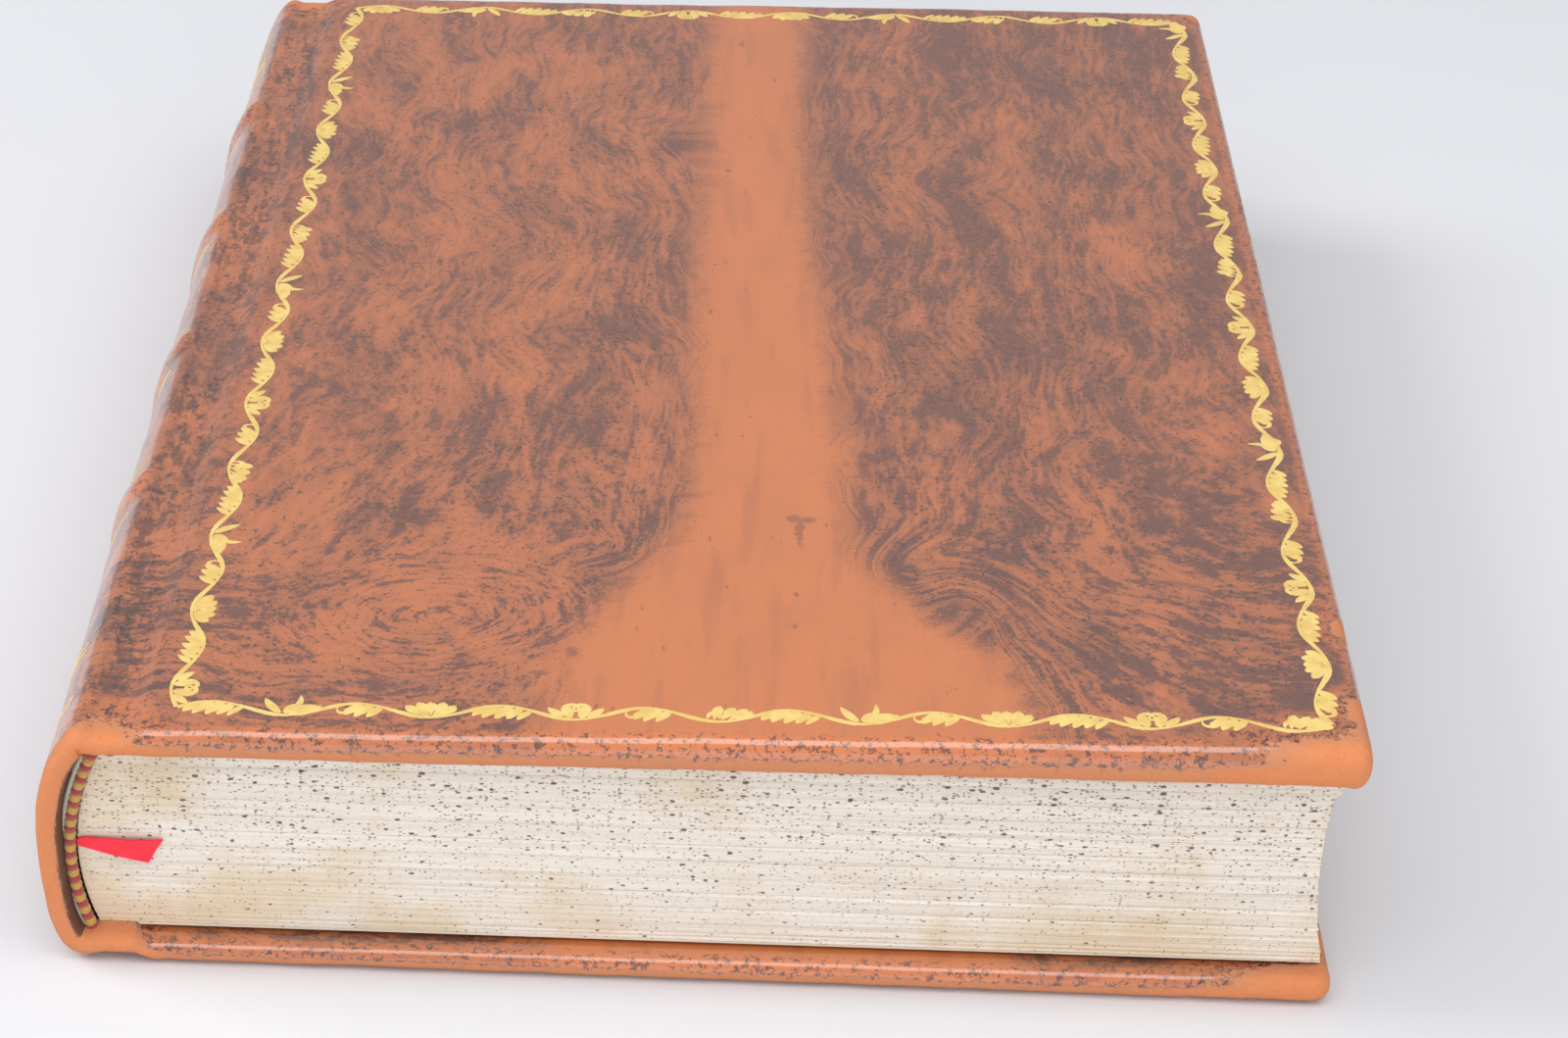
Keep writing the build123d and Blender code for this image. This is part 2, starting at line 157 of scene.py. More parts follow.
# ------------------------------------------------------------------ numbers and curves
def smooth_step(value: Array | float, low: float, high: float) -> Array:
    """Rise from 0 at low to 1 at high, level at both ends: t squared times (3 - 2t)."""
    t = np.clip((value - low) / (high - low), 0.0, 1.0)
    return t * t * (3.0 - 2.0 * t)


def bowed(share: Array, low: float, high: float, bow: float) -> Array:
    """From low at share 0 to high at share 1, bowed by a parabola."""
    return low + (high - low) * share + bow * 4.0 * share * (1.0 - share)


def run_along(path: Array) -> Array:
    """Distance from the start of a path to each of its places."""
    return np.concatenate([[0.0], np.cumsum(np.linalg.norm(np.diff(path, axis=0), axis=1))])


def smooth_curve(points: Sequence[tuple[float, float]], count: int) -> Array:
    """A smooth plane curve through points, evenly spaced along its length.

    Between two points the curve is the cubic whose end slopes are half the step from the
    point before to the point after. The first and last point only give the end slopes.

    Args:
        points: Points of the curve, with one guiding point before and after.
        count: Number of places returned.

    Returns:
        The places, as a count by 2 array.
    """
    p = np.array(points, float)
    t = np.linspace(0.0, 1.0, 40, endpoint=False)[None, :, None]
    p0, p1, p2, p3 = p[:-3, None], p[1:-2, None], p[2:-1, None], p[3:, None]
    m1, m2 = (p2 - p0) / 2, (p3 - p1) / 2
    h1, h2 = 2 * t**3 - 3 * t**2 + 1, t**3 - 2 * t**2 + t
    h3, h4 = -2 * t**3 + 3 * t**2, t**3 - t**2
    fine = np.concatenate([(h1 * p1 + h2 * m1 + h3 * p2 + h4 * m2).reshape(-1, 2), p[-2:-1]])
    run = run_along(fine)
    even = np.linspace(0.0, run[-1], count)
    return np.stack([np.interp(even, run, fine[:, k]) for k in (0, 1)], axis=1)


def soft_noise(points: Array, size: float, seed: int, waves: int = 24) -> Array:
    """Smooth unevenness from -1 to 1: the mean of plane waves with random directions.

    Args:
        points: Places, with three coordinates in the last axis, in millimetres.
        size: Rough length of one swell, in millimetres.
        seed: Seed of the random directions.
        waves: Number of plane waves.

    Returns:
        The unevenness at each place.
    """
    rng = np.random.default_rng(seed)
    ways = rng.normal(size=(3, waves)) * 2.2 / size
    phase = rng.uniform(0.0, 2 * np.pi, waves)
    return np.sin(points @ ways + phase).mean(axis=-1) * math.sqrt(waves) / 2


@dataclass(frozen=True)
class Oval:
    """An ellipse on the book's face, by its middle and its reach across and along."""

    x: float
    y: float
    reach_x: float
    reach_y: float

    def far(self, x: "Array | Wire", y: "Array | Wire") -> "Array | Wire":
        """Square of the distance from the middle, counted in reaches."""
        return ((x - self.x) / self.reach_x) ** 2.0 + ((y - self.y) / self.reach_y) ** 2.0


@dataclass(frozen=True)
class Scuff(Oval):
    """A worn place on the leather, where the wear dies away like a bell."""

    amount: float = 1.0

    def at(self, points: Array) -> Array:
        """Wear at each place."""
        return self.amount * np.exp(-self.far(points[..., 0], points[..., 1]))


# ------------------------------------------------------------------ shapes to meshes
@dataclass
class Shape:
    """Corners in millimetres and faces of one piece, with values carried by each corner."""

    points: Array
    faces: list[Array]
    values: dict[str, Array] = field(default_factory=dict)
    uv: Array | None = None

    @classmethod
    def grid(cls, points: Array, flip: bool = False, closed: bool = False) -> "Shape":
        """Four-sided faces over a grid of places.

        Args:
            points: Places, rows by columns by 3.
            flip: Turn the faces over.
            closed: Join the last row to the first.

        Returns:
            The surface.
        """
        rows, columns = points.shape[:2]
        index = np.arange(rows * columns).reshape(rows, columns)
        if closed:
            index = np.vstack([index, index[:1]])
        quads = np.stack([index[:-1, :-1], index[1:, :-1], index[1:, 1:], index[:-1, 1:]], axis=-1)
        quads = quads.reshape(-1, 4)
        return cls(points.reshape(-1, 3), [quads[:, ::-1] if flip else quads])

    def quads(self) -> Array:
        """All four-sided faces as one array."""
        return np.concatenate([f for f in self.faces if f.ndim == 2 and f.shape[1] == 4])

    def normals(self) -> Array:
        """Outward direction at each corner: the sum of the crossed diagonals of its faces."""
        quads = self.quads()
        a, b, c, d = (self.points[quads[:, k]] for k in range(4))
        across = np.cross(c - a, d - b)
        total = np.zeros_like(self.points)
        for k in range(4):
            np.add.at(total, quads[:, k], across)
        return total / np.maximum(np.linalg.norm(total, axis=1, keepdims=True), 1e-12)

    def walled(self, rows: int, columns: int, wall: Array | float) -> "Shape":
        """Give an open grid a wall on its inner side, closed all round its border.

        The rim always runs the same way round, whether or not the grid is turned over.

        Args:
            rows: Rows of the grid.
            columns: Columns of the grid.
            wall: Thickness of the wall, one value or one for each corner.

        Returns:
            A closed shell.
        """
        count = len(self.points)
        inner = self.points - self.normals() * np.reshape(wall, (-1, 1))
        index = np.arange(rows * columns).reshape(rows, columns)
        border = np.concatenate([index[0, :-1], index[:-1, -1], index[-1, :0:-1], index[:0:-1, 0]])
        after = np.roll(border, -1)
        rim = np.stack([border, after, after + count, border + count], axis=1)
        quads = self.quads()
        faces = [quads, quads[:, ::-1] + count, rim]
        values = {name: np.concatenate([v, v]) for name, v in self.values.items()}
        uv = None if self.uv is None else np.concatenate([self.uv, self.uv])
        return Shape(np.concatenate([self.points, inner]), faces, values, uv)

    @staticmethod
    def joined(shapes: Sequence["Shape"]) -> "Shape":
        """Several shapes as one.

        Args:
            shapes: The shapes, all with the same values.

        Returns:
            One shape with the corners of all of them.
        """
        starts = np.cumsum([0] + [len(s.points) for s in shapes])
        faces = [f + start for s, start in zip(shapes, starts) for f in s.faces]
        names = shapes[0].values.keys()
        values = {n: np.concatenate([s.values[n] for s in shapes]) for n in names}
        uvs = [s.uv for s in shapes]
        uv = None if any(u is None for u in uvs) else np.concatenate(uvs)
        return Shape(np.concatenate([s.points for s in shapes]), faces, values, uv)

    def build(self, name: str, material: bpy.types.Material, crease: float = 40.0) -> bpy.types.Object:
        """Write the shape to a new object in the scene.

        Args:
            name: Name of the piece.
            material: Finish of the piece.
            crease: Edges that turn by more than this many degrees stay sharp.

        Returns:
            The object, at the origin.
        """
        mesh = bpy.data.meshes.new(name)
        faces = [list(map(int, f)) for group in self.faces for f in np.atleast_2d(group)]
        mesh.from_pydata((self.points * MM).tolist(), [], faces)
        mesh.update()
        corner = np.zeros(len(mesh.loops), int)
        mesh.loops.foreach_get("vertex_index", corner)
        if self.uv is not None:
            layer = mesh.uv_layers.new(name="UVMap")
            layer.data.foreach_set("uv", self.uv[corner].astype(np.float32).ravel())
        for key, value in self.values.items():
            attribute = mesh.attributes.new(key, "FLOAT", "POINT")
            attribute.data.foreach_set("value", value.astype(np.float32).ravel())
        mesh.polygons.foreach_set("use_smooth", np.ones(len(mesh.polygons), bool))
        mesh.set_sharp_from_angle(angle=math.radians(crease))
        mesh.materials.append(material)
        piece = bpy.data.objects.new(name, mesh)
        bpy.context.scene.collection.objects.link(piece)
        return piece


def tube(path: Array, radius: Array, sides: int, sideways: Array) -> Shape:
    """A round cord along a path: circles square to the path, closed at both ends.

    Args:
        path: Places along the middle, count by 3.
        radius: Radius at each place.
        sides: Corners round the cord.
        sideways: A direction that is square to the whole path.

    Returns:
        The closed surface, with the run along the path in u and the way round in v.
    """
    along = np.gradient(path, axis=0)
    along /= np.linalg.norm(along, axis=1, keepdims=True)
    side = np.broadcast_to(sideways, path.shape)
    up = np.cross(along, side)
    turn = np.linspace(0.0, 2 * np.pi, sides, endpoint=False)[:, None, None]
    ring = path + radius[None, :, None] * (np.cos(turn) * side + np.sin(turn) * up)
    shape = Shape.grid(ring, closed=True)
    across, length = np.meshgrid(np.arange(sides) / sides, run_along(path), indexing="ij")
    shape.uv = np.stack([length.ravel() * UV_PER_MM, across.ravel()], axis=1)
    index = np.arange(sides * len(path)).reshape(sides, len(path))
    shape.faces += [index[:, 0][None, :], index[::-1, -1][None, :]]
    return shape


# ------------------------------------------------------------------ shader arithmetic
class Wire:
    """A node socket that takes part in arithmetic: each operator adds its Math node."""

    def __init__(self, paint: "Paint", socket: bpy.types.NodeSocket) -> None:
        """Hold the socket and the material it belongs to."""
        self.paint = paint
        self.socket = socket

    def _math(self, operation: str, *values: "Wire | float") -> "Wire":
        """The result of one Math node."""
        return self.paint.add("ShaderNodeMath", {"operation": operation}, dict(enumerate(values)))

    def __add__(self, other: "Wire | float") -> "Wire":
        """Sum."""
        return self._math("ADD", self, other)

    def __radd__(self, other: float) -> "Wire":
        """Sum with a number first."""
        return self._math("ADD", other, self)

    def __sub__(self, other: "Wire | float") -> "Wire":
        """Difference."""
        return self._math("SUBTRACT", self, other)

    def __rsub__(self, other: float) -> "Wire":
        """Difference with a number first."""
        return self._math("SUBTRACT", other, self)

    def __mul__(self, other: "Wire | float") -> "Wire":
        """Product."""
        return self._math("MULTIPLY", self, other)

    def __rmul__(self, other: float) -> "Wire":
        """Product with a number first."""
        return self._math("MULTIPLY", other, self)

    def __truediv__(self, other: "Wire | float") -> "Wire":
        """Quotient."""
        return self._math("DIVIDE", self, other)

    def __pow__(self, other: float) -> "Wire":
        """Power."""
        return self._math("POWER", self, other)

    def call(self, operation: str, *others: "Wire | float") -> "Wire":
        """Any other Math operation, such as MAXIMUM or SINE."""
        return self._math(operation, self, *others)

    def step(self, low: float, high: float) -> "Wire":
        """Rise from 0 at low to 1 at high, level at both ends."""
        sockets = {"Value": self, "From Min": low, "From Max": high}
        return self.paint.add("ShaderNodeMapRange", {"interpolation_type": "SMOOTHSTEP"}, sockets)


Triple = tuple[float, float, float]
Colour = Triple
Value = Wire | float


class Paint:
    """The nodes of one material, with one Principled shader at their end."""

    def __init__(self, name: str, roughness: float = 0.5, **constants: float | Colour) -> None:
        """Start a material.

        Args:
            name: Name of the material.
            roughness: Roughness where nothing varies it.
            constants: Other values of the shader's own sockets, with _ for a space.
        """
        self.material = bpy.data.materials.new(name)
        self.material.use_nodes = True
        self.tree = self.material.node_tree
        self.shader = self.tree.nodes["Principled BSDF"]
        self.shader.inputs["Roughness"].default_value = roughness
        for key, value in constants.items():
            socket = self.shader.inputs[key.replace("_", " ")]
            socket.default_value = (*value, 1.0) if isinstance(value, tuple) else value

    def add(self, kind: str, settings: dict, sockets: dict, output: int | str = 0) -> Wire:
        """Add a node, set it up and join its sockets.

        Args:
            kind: Type of the node.
            settings: Values of its own settings, set first.
            sockets: Values or wires of its inputs, by name or number.
            output: Output that is used on.

        Returns:
            The chosen output.
        """
        node = self.tree.nodes.new(kind)
        for key, value in settings.items():
            setattr(node, key, value)
        for key, value in sockets.items():
            if isinstance(value, Wire):
                self.tree.links.new(value.socket, node.inputs[key])
            elif value is not None:
                node.inputs[key].default_value = value
        return Wire(self, node.outputs[output])

    def place(self) -> Wire:
        """Object coordinates in millimetres."""
        here = self.add("ShaderNodeTexCoord", {}, {}, "Object")
        return self.stretch(here, (1 / MM, 1 / MM, 1 / MM))

    def flat_place(self) -> Wire:
        """The piece's own UV map."""
        return self.add("ShaderNodeUVMap", {"uv_map": "UVMap"}, {}, "UV")

    def carried(self, name: str) -> Wire:
        """A value that the mesh carries."""
        return self.add("ShaderNodeAttribute", {"attribute_name": name}, {}, "Fac")

    def stretch(self, vector: Wire, by: Triple) -> Wire:
        """The vector times a vector of numbers."""
        return self.add("ShaderNodeVectorMath", {"operation": "MULTIPLY"}, {0: vector, 1: by})

    def split(self, vector: Wire) -> tuple[Wire, Wire, Wire]:
        """The three coordinates of a vector."""
        parts = self.add("ShaderNodeSeparateXYZ", {}, {0: vector}).socket.node
        return tuple(Wire(self, parts.outputs[k]) for k in range(3))

    def bundle(self, x: Value, y: Value, z: Value = 0.0) -> Wire:
        """A vector from three values."""
        return self.add("ShaderNodeCombineXYZ", {}, {0: x, 1: y, 2: z})

    def noise(self, vector: Wire, scale: float, detail: float = 2.0, rough: float = 0.5) -> Wire:
        """Cloudy noise from 0 to 1 at a scale per millimetre."""
        sockets = {"Vector": vector, "Scale": scale, "Detail": detail, "Roughness": rough}
        return self.add("ShaderNodeTexNoise", {}, sockets, 0)

    def cells(self, vector: Wire, scale: float) -> tuple[Wire, Wire]:
        """Distance to the nearest of scattered points, and a random value for each point."""
        near = self.add("ShaderNodeTexVoronoi", {}, {"Vector": vector, "Scale": scale}, "Distance")
        random = self.split(Wire(self, near.socket.node.outputs["Color"]))[0]
        return near, random

    def mix(self, factor: Value, first: Wire | Colour, second: Wire | Colour) -> Wire:
        """A colour between first, where factor is 0, and second, where it is 1."""
        ends = [c if isinstance(c, Wire) else (*c, 1.0) for c in (first, second)]
        return self.add("ShaderNodeMix", {"data_type": "RGBA"}, {0: factor, 6: ends[0], 7: ends[1]}, 2)

    def colour(self, wire: Wire) -> None:
        """Use a wire as the base colour."""
        self.join(wire, "Base Color")

    def rough(self, wire: Wire) -> None:
        """Use a wire as the roughness."""
        self.join(wire, "Roughness")

    def join(self, wire: Wire, socket: str) -> None:
        """Join a wire to a socket of the shader."""
        self.tree.links.new(wire.socket, self.shader.inputs[socket])

    def relief(self, height: Wire, depth: float) -> None:
        """Shade a height from 0 to 1 as relief of a depth in millimetres."""
        normal = self.add("ShaderNodeBump", {}, {"Height": height, "Distance": depth * MM}, "Normal")
        self.join(normal, "Normal")


# ------------------------------------------------------------------ finishes
@dataclass(frozen=True)
class Eddy(Oval):
    """A place round which the marbling is wound, by turn radians at its middle."""

    turn: float = 0.0

    def wind(self, x: Wire, y: Wire) -> tuple[Wire, Wire]:
        """Wind the plane round the middle, by an angle that dies away like a bell."""
        dx, dy = x - self.x, y - self.y
        angle = (self.far(x, y) * -1.0).call("EXPONENT") * self.turn
        cosine, sine = angle.call("COSINE"), angle.call("SINE")
        return (dx * cosine - dy * sine) + self.x, (dx * sine + dy * cosine) + self.y


@dataclass(frozen=True)
class Specks:
    """Noises that the marbling and the wear share, from broad to fine."""

    blotch: Wire
    dust: Wire
    grain: Wire


@dataclass(frozen=True)
class TreeCalf:
    """Polished calf with a pale trunk between dark, flowing, speckled marbling."""

    light: Colour = (0.56, 0.17, 0.058)
    trunk: Colour = (0.61, 0.185, 0.056)
    dark: Colour = (0.115, 0.05, 0.04)
    deep: Colour = (0.045, 0.022, 0.02)
    rubbed: Colour = (0.60, 0.17, 0.05)
    suede: Colour = (0.68, 0.235, 0.09)
    suede_tan: Colour = (0.56, 0.235, 0.12)
    # Painted shade and shadow: the dark of the hollow inside the spine's turned-in ends and of the line along
    # the bottom of each cover's edge.
    inside: Colour = (0.10, 0.045, 0.025)
    foot: float = -95.0
    wander: float = 18.0
    root_wander: float = 6.0
    polish: float = 0.75
    relief_mm: float = 0.09
    root: Oval = Oval(-29.0, -70.0, 15.0, 10.0)
    eddies: tuple[Eddy, ...] = (
        Eddy(24.5, -64.0, 7.0, 7.5, -2.3), Eddy(-10.5, -60.0, 4.5, 5.0, 1.6))
    marks: tuple[Oval, ...] = (
        Oval(10.2, -52.0, 0.5, 3.6), Oval(11.1, -49.6, 1.1, 0.7), Oval(9.5, -49.4, 0.9, 1.0),
        Oval(-13.0, -70.0, 0.5, 2.0), Oval(-13.8, -76.5, 0.8, 1.0), Oval(-17.0, -80.5, 1.1, 0.6))

    def trunk_edges(self, y: Wire) -> tuple[Wire, Wire]:
        """Where the pale trunk's left and right edges are: it widens to its root."""
        left = y.step(-46.0, -82.0) * -13.0 - 2.5
        right = y.step(45.0, -45.0) * 5.0 + y.step(-54.0, -86.0) * 18.0 + 11.0
        return left, right

    def rings(self, paint: Paint, x: Wire, y: Wire) -> tuple[Wire, Wire]:
        """Noise coordinates that run in flat rings about the eddy at the trunk's root.

        The first coordinate is the elliptical distance from the middle, so the noise changes
        fast from ring to ring, and slowly along each ring.

        Args:
            paint: The material.
            x: Place across the book.
            y: Place along the book.

        Returns:
            The coordinates, and how strongly the rings show.
        """
        dx, dy = x - self.root.x, y - self.root.y
        far = self.root.far(x, y).call("SQRT")
        return paint.bundle(far * 12.0, dx * 0.22, dy * 0.3), far.step(1.55, 0.95)

    def currents(self, paint: Paint, place: Wire) -> tuple[Wire, Wire, Wire]:
        """Noise drawn out along the marbling, which sweeps up the trunk and turns outwards.

        With out the distance from the trunk and rise the height above its foot, the noise
        changes fast across the sweep, over out times rise by their common length, and slowly
        along it, over rise less out. Eddies and a broad unevenness bend the plane first.

        Args:
            paint: The material.
            place: Place on the book.

        Returns:
            Coarse, streaky and fine noise.
        """
        x, y, _ = paint.split(place)
        broad = paint.add("ShaderNodeTexNoise", {}, {"Vector": place, "Scale": 0.035}, 1)
        wander_x, wander_y, _ = paint.split(broad)
        left_edge, right_edge = self.trunk_edges(y)
        bent_x, bent_y = x, y
        for eddy in self.eddies:
            bent_x, bent_y = eddy.wind(bent_x, bent_y)
        bent_x = bent_x + (wander_x - 0.5) * self.wander
        bent_y = bent_y + (wander_y - 0.5) * self.wander
        right = bent_x - right_edge
        out = (left_edge - bent_x).call("MAXIMUM", right).call("MAXIMUM", 0.1)
        rise = (bent_y - self.foot).call("MAXIMUM", 0.5)
        reach = (out * out + rise * rise).call("SQRT")
        sweep = paint.bundle(out * rise / reach, (rise - out) * 0.2, right.step(-1.0, 1.0) * 40.0)
        root_x = x + (wander_x - 0.5) * self.root_wander
        root_y = y + (wander_y - 0.5) * self.root_wander
        around, ringed = self.rings(paint, root_x, root_y)
        streaks = paint.noise(sweep, 0.62, 3.0, 0.6)
        streaks = streaks + (paint.noise(around, 0.95, 3.0, 0.6) - streaks) * ringed
        fine = paint.noise(sweep, 1.6, 2.0, 0.6)
        fine = fine + (paint.noise(around, 2.2, 2.0, 0.6) - fine) * ringed
        return paint.noise(sweep, 0.14, 2.0), streaks, fine

    def mark(self, x: Wire, y: Wire) -> Wire:
        """The few dark touches on the trunk: 1 inside small ellipses and 0 outside."""
        cover = None
        for oval in self.marks:
            inside = 1.0 - oval.far(x, y)
            cover = inside if cover is None else cover.call("MAXIMUM", inside)
        return cover.step(-0.3, 0.8)

    def marbling(self, paint: Paint, place: Wire, specks: Specks) -> Wire:
        """Colour of the unworn skin.

        The light ground is darkened by soft clouds, then flecks, veins and specks. All of
        them thin out over the trunk, whose edges are ragged.

        Args:
            paint: The material.
            place: Place on the book.
            specks: The shared noises.

        Returns:
            The colour.
        """
        blotch, dust, grain = specks.blotch, specks.dust, specks.grain
        x, y, z = paint.split(place)
        coarse, streaks, fine = self.currents(paint, place)
        left_edge, right_edge = self.trunk_edges(y)
        ragged = (dust - 0.5) * 6.0 + (blotch - 0.5) * 10.0
        past_right = x - right_edge - ragged
        past = (left_edge - x - ragged).call("MAXIMUM", past_right)
        outside = past.step(-3.5, 3.0)
        close = past.step(18.0, 2.0) * y.step(-62.0, -40.0)
        lean = past_right.step(-2.0, 5.0) * 0.06 + y.step(-75.0, -20.0) * 0.03 + close * 0.05
        tone = coarse * 0.45 + blotch * 0.55 - 0.52 + lean
        near = y.step(-10.0, -75.0)
        soft = (tone + (streaks - 0.5) * 0.5 + (fine - 0.5) * 0.4).step(-0.19, 0.22)
        fleck = streaks * 0.55 + fine * 0.4 + grain * 0.24 + dust * 0.3 + tone * 0.5 + near * 0.035
        flecks = (fleck - 0.775).step(-0.01, 0.065) * outside
        speck = (grain * 0.6 + dust * 0.5 + (blotch - 0.5) * 0.15).step(0.61, 0.67)
        vein = paint.noise(paint.bundle(x, y * 0.12, z), 0.45, 2.0).step(0.5, 0.75)
        colour = paint.mix(outside, self.trunk, self.light)
        colour = paint.mix(vein * 0.16 + blotch.step(0.4, 0.75) * 0.1, colour, self.dark)
        colour = paint.mix(outside * (soft * 0.64 + 0.08), colour, self.dark)
        colour = paint.mix(flecks * (near * 0.3 + 0.38), colour, self.dark)
        stray = paint.noise(paint.bundle(x * 1.3, y * 0.5, z), 0.5, 3.0, 0.7).step(0.67, 0.71)
        colour = paint.mix(stray * 0.5 * (1.0 - outside), colour, self.dark)
        marks = self.mark(x + (dust - 0.5) * 1.6, y + (fine - 0.5) * 2.0)
        colour = paint.mix(marks * 0.5, colour, self.dark)
        colour = paint.mix(speck * (outside * 0.6 + 0.05), colour, self.deep)
        # Darker patches along the joint.
        smear = paint.noise(paint.stretch(place, (1.0, 0.3, 1.0)), 0.5, 3.0, 0.7)
        smear = smear + (grain - 0.5) * 0.25 + (dust - 0.5) * 0.4
        joint_darkening = smear.step(0.48, 0.62) * x.step(-54.0, -58.5)
        return paint.mix(joint_darkening * 0.62, colour, self.deep)

    def make(self) -> bpy.types.Material:
        """The material: marbling, rubbed through to suede by the wear that the mesh carries, and darkened by
        the painted shade and shadow that it carries as inside.
        """
        paint = Paint("tree_calf", roughness=0.4, Coat_Roughness=0.15, Coat_IOR=2.1)
        place = paint.place()
        blotch = paint.noise(paint.stretch(place, (1.0, 0.6, 1.0)), 0.11, 4.0, 0.6)
        fray = paint.noise(place, 0.9, 4.0, 0.65)
        dust = paint.noise(place, 1.2, 3.0, 0.7)
        grain = paint.noise(place, 3.0, 2.0, 0.6)
        nap = paint.noise(place, 2.0, 4.0, 0.7)
        colour = self.marbling(paint, place, Specks(blotch, dust, grain))
        wear, inside = paint.carried("wear"), paint.carried("inside")
        rubbed = wear.step(0.02, 0.12)
        colour = paint.mix(rubbed * 0.65, colour, self.rubbed)
        colour = paint.mix(rubbed * (dust * 0.7 + grain * 0.4).step(0.57, 0.64) * 0.75, colour, self.deep)
        worn = (wear + (fray - 0.5) * 1.1).step(0.46, 0.56)
        scuff = (wear + (fray - 0.5) * 1.3).step(0.24, 0.5) * (1.0 - worn)
        dirt = (dust + (grain - 0.5) * 0.5).step(0.47, 0.56)
        colour = paint.mix(scuff * 0.85 * dirt, colour, self.deep)
        suede = paint.mix((wear + (nap - 0.5) * 0.8).step(0.5, 0.95), self.suede_tan, self.suede)
        suede = paint.mix((nap * 0.6 + dust * 0.5).step(0.58, 0.7) * 0.4, suede, self.rubbed)
        colour = paint.mix(worn, colour, suede)
        # Painted shade and shadow: where the mesh carries inside, the colour darkens to the inside colour,
        # for the hollow inside the spine's turned-in ends and the line along the bottom of each cover's edge.
        hidden = (inside + (fray - 0.5) * 0.9).step(0.45, 0.6) * 0.92
        paint.colour(paint.mix(hidden, colour, self.inside))
        matt = worn.call("MAXIMUM", inside)
        paint.rough(matt * 0.45 + (grain - 0.5) * 0.12 + 0.38)
        paint.join((1.0 - matt) * self.polish, "Coat Weight")
        pores = paint.cells(place, 2.4)[0]
        height = pores * 0.25 * (1.0 - worn) + nap * worn * 2.4 + grain * 0.25 + fray * 0.5
        paint.relief(height, self.relief_mm)
        return paint.material


@dataclass(frozen=True)
class Gilt:
    """Gold leaf pressed into leather, rubbed in places."""

    bright: Colour = (0.90, 0.68, 0.23)
    dull: Colour = (0.82, 0.56, 0.17)

    def make(self) -> bpy.types.Material:
        """The material."""
        paint = Paint("gilt", roughness=0.42, Metallic=0.2)
        place = paint.place()
        cloud = paint.noise(place, 0.5, 3.0)
        rubbed = paint.noise(place, 3.0, 3.0, 0.7).step(0.62, 0.75)
        colour = paint.mix(cloud.step(0.35, 0.65), self.dull, self.bright)
        paint.colour(paint.mix(rubbed * 0.35, colour, (0.45, 0.22, 0.08)))
        paint.rough(cloud * 0.2 + 0.32)
        paint.relief(paint.noise(place, 4.0, 2.0), 0.03)
        return paint.material


@dataclass(frozen=True)
class PageEdges:
    """Trimmed leaves: cream, lined leaf by leaf with painted shade between the leaves and the gatherings,
    stained, and sprinkled dark brown.
    """

    cream: Colour = (0.74, 0.665, 0.565)
    bright: Colour = (0.80, 0.75, 0.67)
    stain: Colour = (0.66, 0.48, 0.27)
    # Colour of the painted shade between the leaves and the gatherings.
    line: Colour = (0.40, 0.30, 0.20)
    ink: Colour = (0.075, 0.035, 0.035)
    leaves: float = 190.0
    gatherings: float = 11.0

    def make(self) -> bpy.types.Material:
        """The material."""
        paint = Paint("page_edges", roughness=0.85)
        place = paint.place()
        run, level, _ = paint.split(paint.flat_place())
        x, _, z = paint.split(place)
        sheets = paint.noise(paint.bundle(run * 4.0, level * self.leaves), 1.0, 2.0, 0.7)
        groups = paint.noise(paint.bundle(run * 1.5, level * self.leaves * 0.25, 5.0), 1.0, 1.0)
        bent = level * self.gatherings + (paint.noise(paint.bundle(run * 3.0, level * 3.0), 1.0) - 0.5) * 0.25
        gap = (bent.call("FRACT") - 0.5).call("ABSOLUTE").step(0.465, 0.5)
        colour = paint.mix(groups.step(0.3, 0.7), self.cream, self.bright)
        cloud = paint.noise(place, 0.07, 3.0, 0.6)
        sooted = cloud + x.step(-30.0, -66.0) * 0.16 + z.step(14.0, 2.0) * 0.1 + x.step(55.0, 68.0) * 0.12
        colour = paint.mix(sooted.step(0.5, 0.78) * 0.6, colour, self.stain)
        # Painted shade: dark lines between the leaves and in the gaps between the gatherings, stronger
        # towards the fore-edge.
        fore = x.step(-40.0, 60.0) * 0.6 + 0.4
        colour = paint.mix(sheets.step(0.5, 0.72) * fore * 0.42, colour, self.line)
        colour = paint.mix(gap * fore * 0.4, colour, self.line)
        thick = z.step(2.0, 26.0) * 0.35 + 0.68
        ragged = paint.noise(place, 5.0, 2.0, 0.7) - 0.5
        near, chance = paint.cells(paint.stretch(place, (0.65, 0.65, 1.2)), 1.25)
        blots = (chance * 0.36 * thick - near - ragged * 0.35).step(0.02, 0.1)
        near, chance = paint.cells(paint.stretch(place, (0.7, 0.7, 1.3)), 2.7)
        dots = (chance * 0.5 * thick - near - ragged * 0.3).step(0.02, 0.12)
        soft = paint.noise(place, 1.5, 3.0, 0.7).step(0.54, 0.7) * 0.34 * thick
        colour = paint.mix(soft, colour, (0.42, 0.33, 0.29))
        colour = paint.mix(dots * 0.62, colour, self.ink)
        colour = paint.mix(blots * 0.85, colour, self.ink)
        paint.colour(colour)
        paint.relief(sheets * 0.7 + groups * 0.3 - gap * 0.4, 0.1)
        return paint.material


@dataclass(frozen=True)
class Paper:
    """Laid paper or card with cloudy tone and fine fibres."""

    name: str
    pale: Colour
    dark: Colour
    grain: float = 1.5

    def make(self) -> bpy.types.Material:
        """The material."""
        paint = Paint(self.name, roughness=0.88)
        place = paint.place()
        cloud = paint.noise(place, 0.05, 4.0, 0.6)
        laid = (paint.split(place)[1] * 6.0).call("SINE") * 0.06
        fibres = paint.noise(paint.stretch(place, (1.0, 0.4, 1.0)), self.grain, 4.0, 0.7)
        tone = cloud * 0.7 + fibres * 0.3 + laid
        paint.colour(paint.mix(tone.step(0.3, 0.75), self.pale, self.dark))
        paint.relief(fibres, 0.05)
        return paint.material


